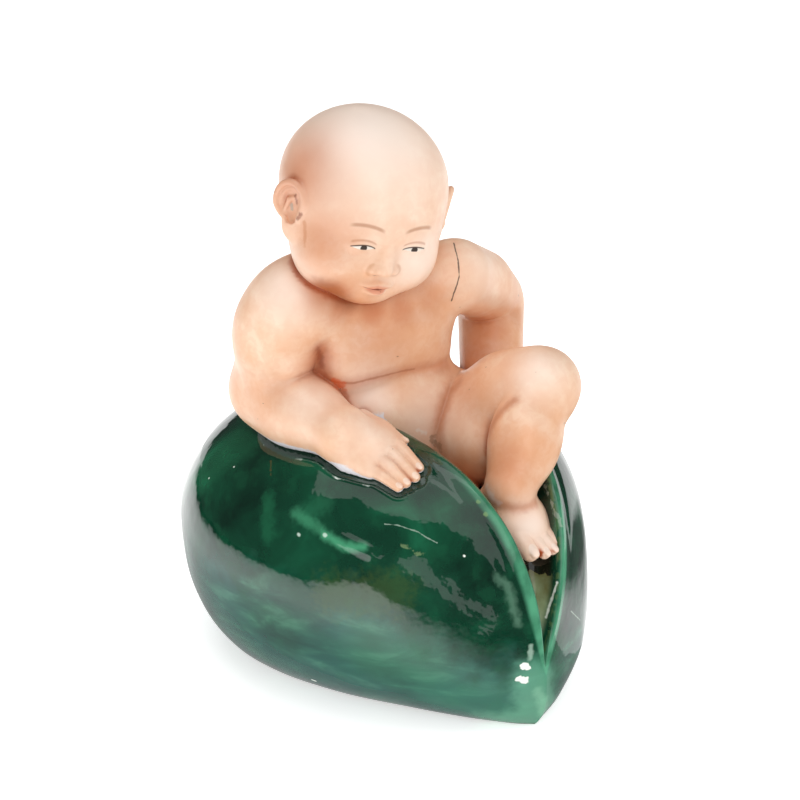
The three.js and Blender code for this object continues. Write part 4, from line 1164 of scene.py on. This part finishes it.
# The studio: strengths of the light, and the outlines of what the glaze mirrors, in metres
studio = {
    "skyOnSurfaces": 0.43, "skyInGloss": 0.056, "skySeen": 1.0, "floorGlow": 0.55, "floorHalf": 1.5,
    # name, place, what it points at, size, power in watts; the first is the only one that gloss shows
    "lamps": [("overhead", (-0.1, 0.05, 1.5), (0, 0, 0.1), (1.6, 1.2), 5),
              ("overhead_fill", (-0.1, 0.05, 1.5), (0, 0, 0.1), (1.6, 1.2), 9.5),
              ("front_fill", (-0.6, -1.2, 1.0), (0, 0, 0.12), (1.0, 1.0), 7),
              ("left_fill", (-1.3, 0.1, 0.5), (0, 0, 0.12), (0.8, 0.8), 2.5),
              ("right_fill", (1.0, -0.9, 0.8), (0, 0, 0.12), (0.8, 0.8), 4)],
    # the lit table: its front edge as y at x = 0 and a slope, and how far off and how low it lies
    "edge": (-0.124, 0.305), "far": 2.5, "sunk": -0.001,
    # from and to which distance it changes, and its glow at the two; and where that fades out
    "glow": (0.06, 0.24, 0.35, 1.9), "fading": (0.35, 1.3),
    # to the right: where that part starts and ends, its front edge, a dim patch and the glow round it
    "rightFrom": 0.06, "rightTo": 1.5, "rightFront": -0.12,
    "dimPlace": (0.185, -0.045, 0.0), "rightGlow": (0.045, 0.10, 0.12, 1.2),
    # the window: the way to it, how far off and how high it is, its glow, and its panes in its own plane
    "windowWay": (-0.6, -0.45, 0.66), "windowFar": 1.2, "windowHigh": 0.09, "windowGlow": 0.85,
    "panes": [[(-1.5, 1.8), (-1.05, 0.74), (-0.83, 0.5), (-0.63, 0.42), (-0.39, 0.15), (-0.2, 0.05),
               (0.0, -0.01), (0.17, 0.02), (0.35, -0.15), (0.58, -0.52), (0.97, -0.88), (1.25, -0.4),
               (1.2, 0.7), (0.4, 1.4), (-0.3, 1.6)],
              [(-0.02, -0.68), (0.14, -0.74), (0.23, -1.0), (0.47, -1.35), (0.75, -1.78), (1.22, -2.24),
               (1.97, -3.33), (1.52, -2.88), (0.83, -2.12), (0.47, -1.6), (0.23, -1.24), (0.06, -1.0)]],
}
edgeAt, edgeSlope = studio["edge"]


# The lit table looks dim in the glaze close to the foot, where the figure shades it
def tableStrength(tree):
    place = add(tree, "TexCoord", out="Object")
    x, y, z = add(tree, "SeparateXYZ", (place,)).node.outputs
    away = add(tree, "VectorMath", (place,), operation="LENGTH")
    behind = add(tree, "Math", (x, -edgeSlope, y), operation="MULTIPLY_ADD")
    glow = add(tree, "MapRange", (away, *studio["glow"]), interpolation_type="SMOOTHSTEP")
    share = within(tree, [(away, *studio["fading"]), (behind, edgeAt + 0.03, edgeAt - 0.025)])
    return add(tree, "Math", (glow, share), operation="MULTIPLY")


# To the right the table mirrors bright round a dim patch
def rightStrength(tree):
    place = add(tree, "TexCoord", out="Object")
    away = add(tree, "VectorMath", (place, studio["dimPlace"]), operation="DISTANCE")
    return add(tree, "MapRange", (away, *studio["rightGlow"]), interpolation_type="SMOOTHSTEP")


makeCamera()
paper, tree = newMaterial("white paper")
shader = add(tree, "BsdfPrincipled", {
    "Base Color": colour("#FCFCFC"), "Roughness": 0.9, "Emission Color": (1, 1, 1, 1),
    "Emission Strength": studio["floorGlow"]})
add(tree, "OutputMaterial", (shader,))
half = studio["floorHalf"]
floor = makeSheet("floor", [(-half, -half, 0), (half, -half, 0), (half, half, 0), (-half, half, 0)],
                  [(0, 1, 2, 3)], paper)
floor.visible_glossy = False
far, sunk, split = studio["far"], studio["sunk"], studio["rightFrom"]
front, rightFront = edgeAt - 0.025, studio["rightFront"]
for name, strength, left, right in (
        ("table_glow", tableStrength, (-far, front - far * edgeSlope), (split, front + split * edgeSlope)),
        ("table_glow_right", rightStrength, (split, rightFront), (studio["rightTo"], rightFront))):
    corners = [(*left, sunk), (*right, sunk), (right[0], far, sunk), (left[0], far, sunk)]
    makeReflection(name, corners, [(0, 1, 2, 3)], strength)
way = unit(studio["windowWay"])
across = unit(np.cross((0, 0, 1), way))
upward = np.cross(way, across)
middle = way * studio["windowFar"] + point(0, 0, studio["windowHigh"])
corners, panes = [], []
for pane in studio["panes"]:
    panes.append(tuple(range(len(corners), len(corners) + len(pane))))
    corners += [tuple(middle + a * across + b * upward) for a, b in pane]
makeReflection("window_glow", corners, panes, lambda tree: studio["windowGlow"])

world = bpy.data.worlds.new("studio")
scene.world = world
world.use_nodes = True
tree = world.node_tree
tree.nodes.clear()
seen, mirrored = (add(tree, "LightPath", out=name) for name in ("Is Camera Ray", "Is Glossy Ray"))
glow = add(tree, "Mix", (mirrored, studio["skyOnSurfaces"], studio["skyInGloss"]))
glow = add(tree, "Mix", (seen, glow, studio["skySeen"]))
sky = add(tree, "Background", {"Color": (1, 1, 1, 1), "Strength": glow})
add(tree, "OutputWorld", (sky,))
for number, lamp in enumerate(studio["lamps"]):
    makeLight(*lamp).visible_glossy = number == 0
scene.view_settings.view_transform = "Standard"
print("camera, floor and light set")
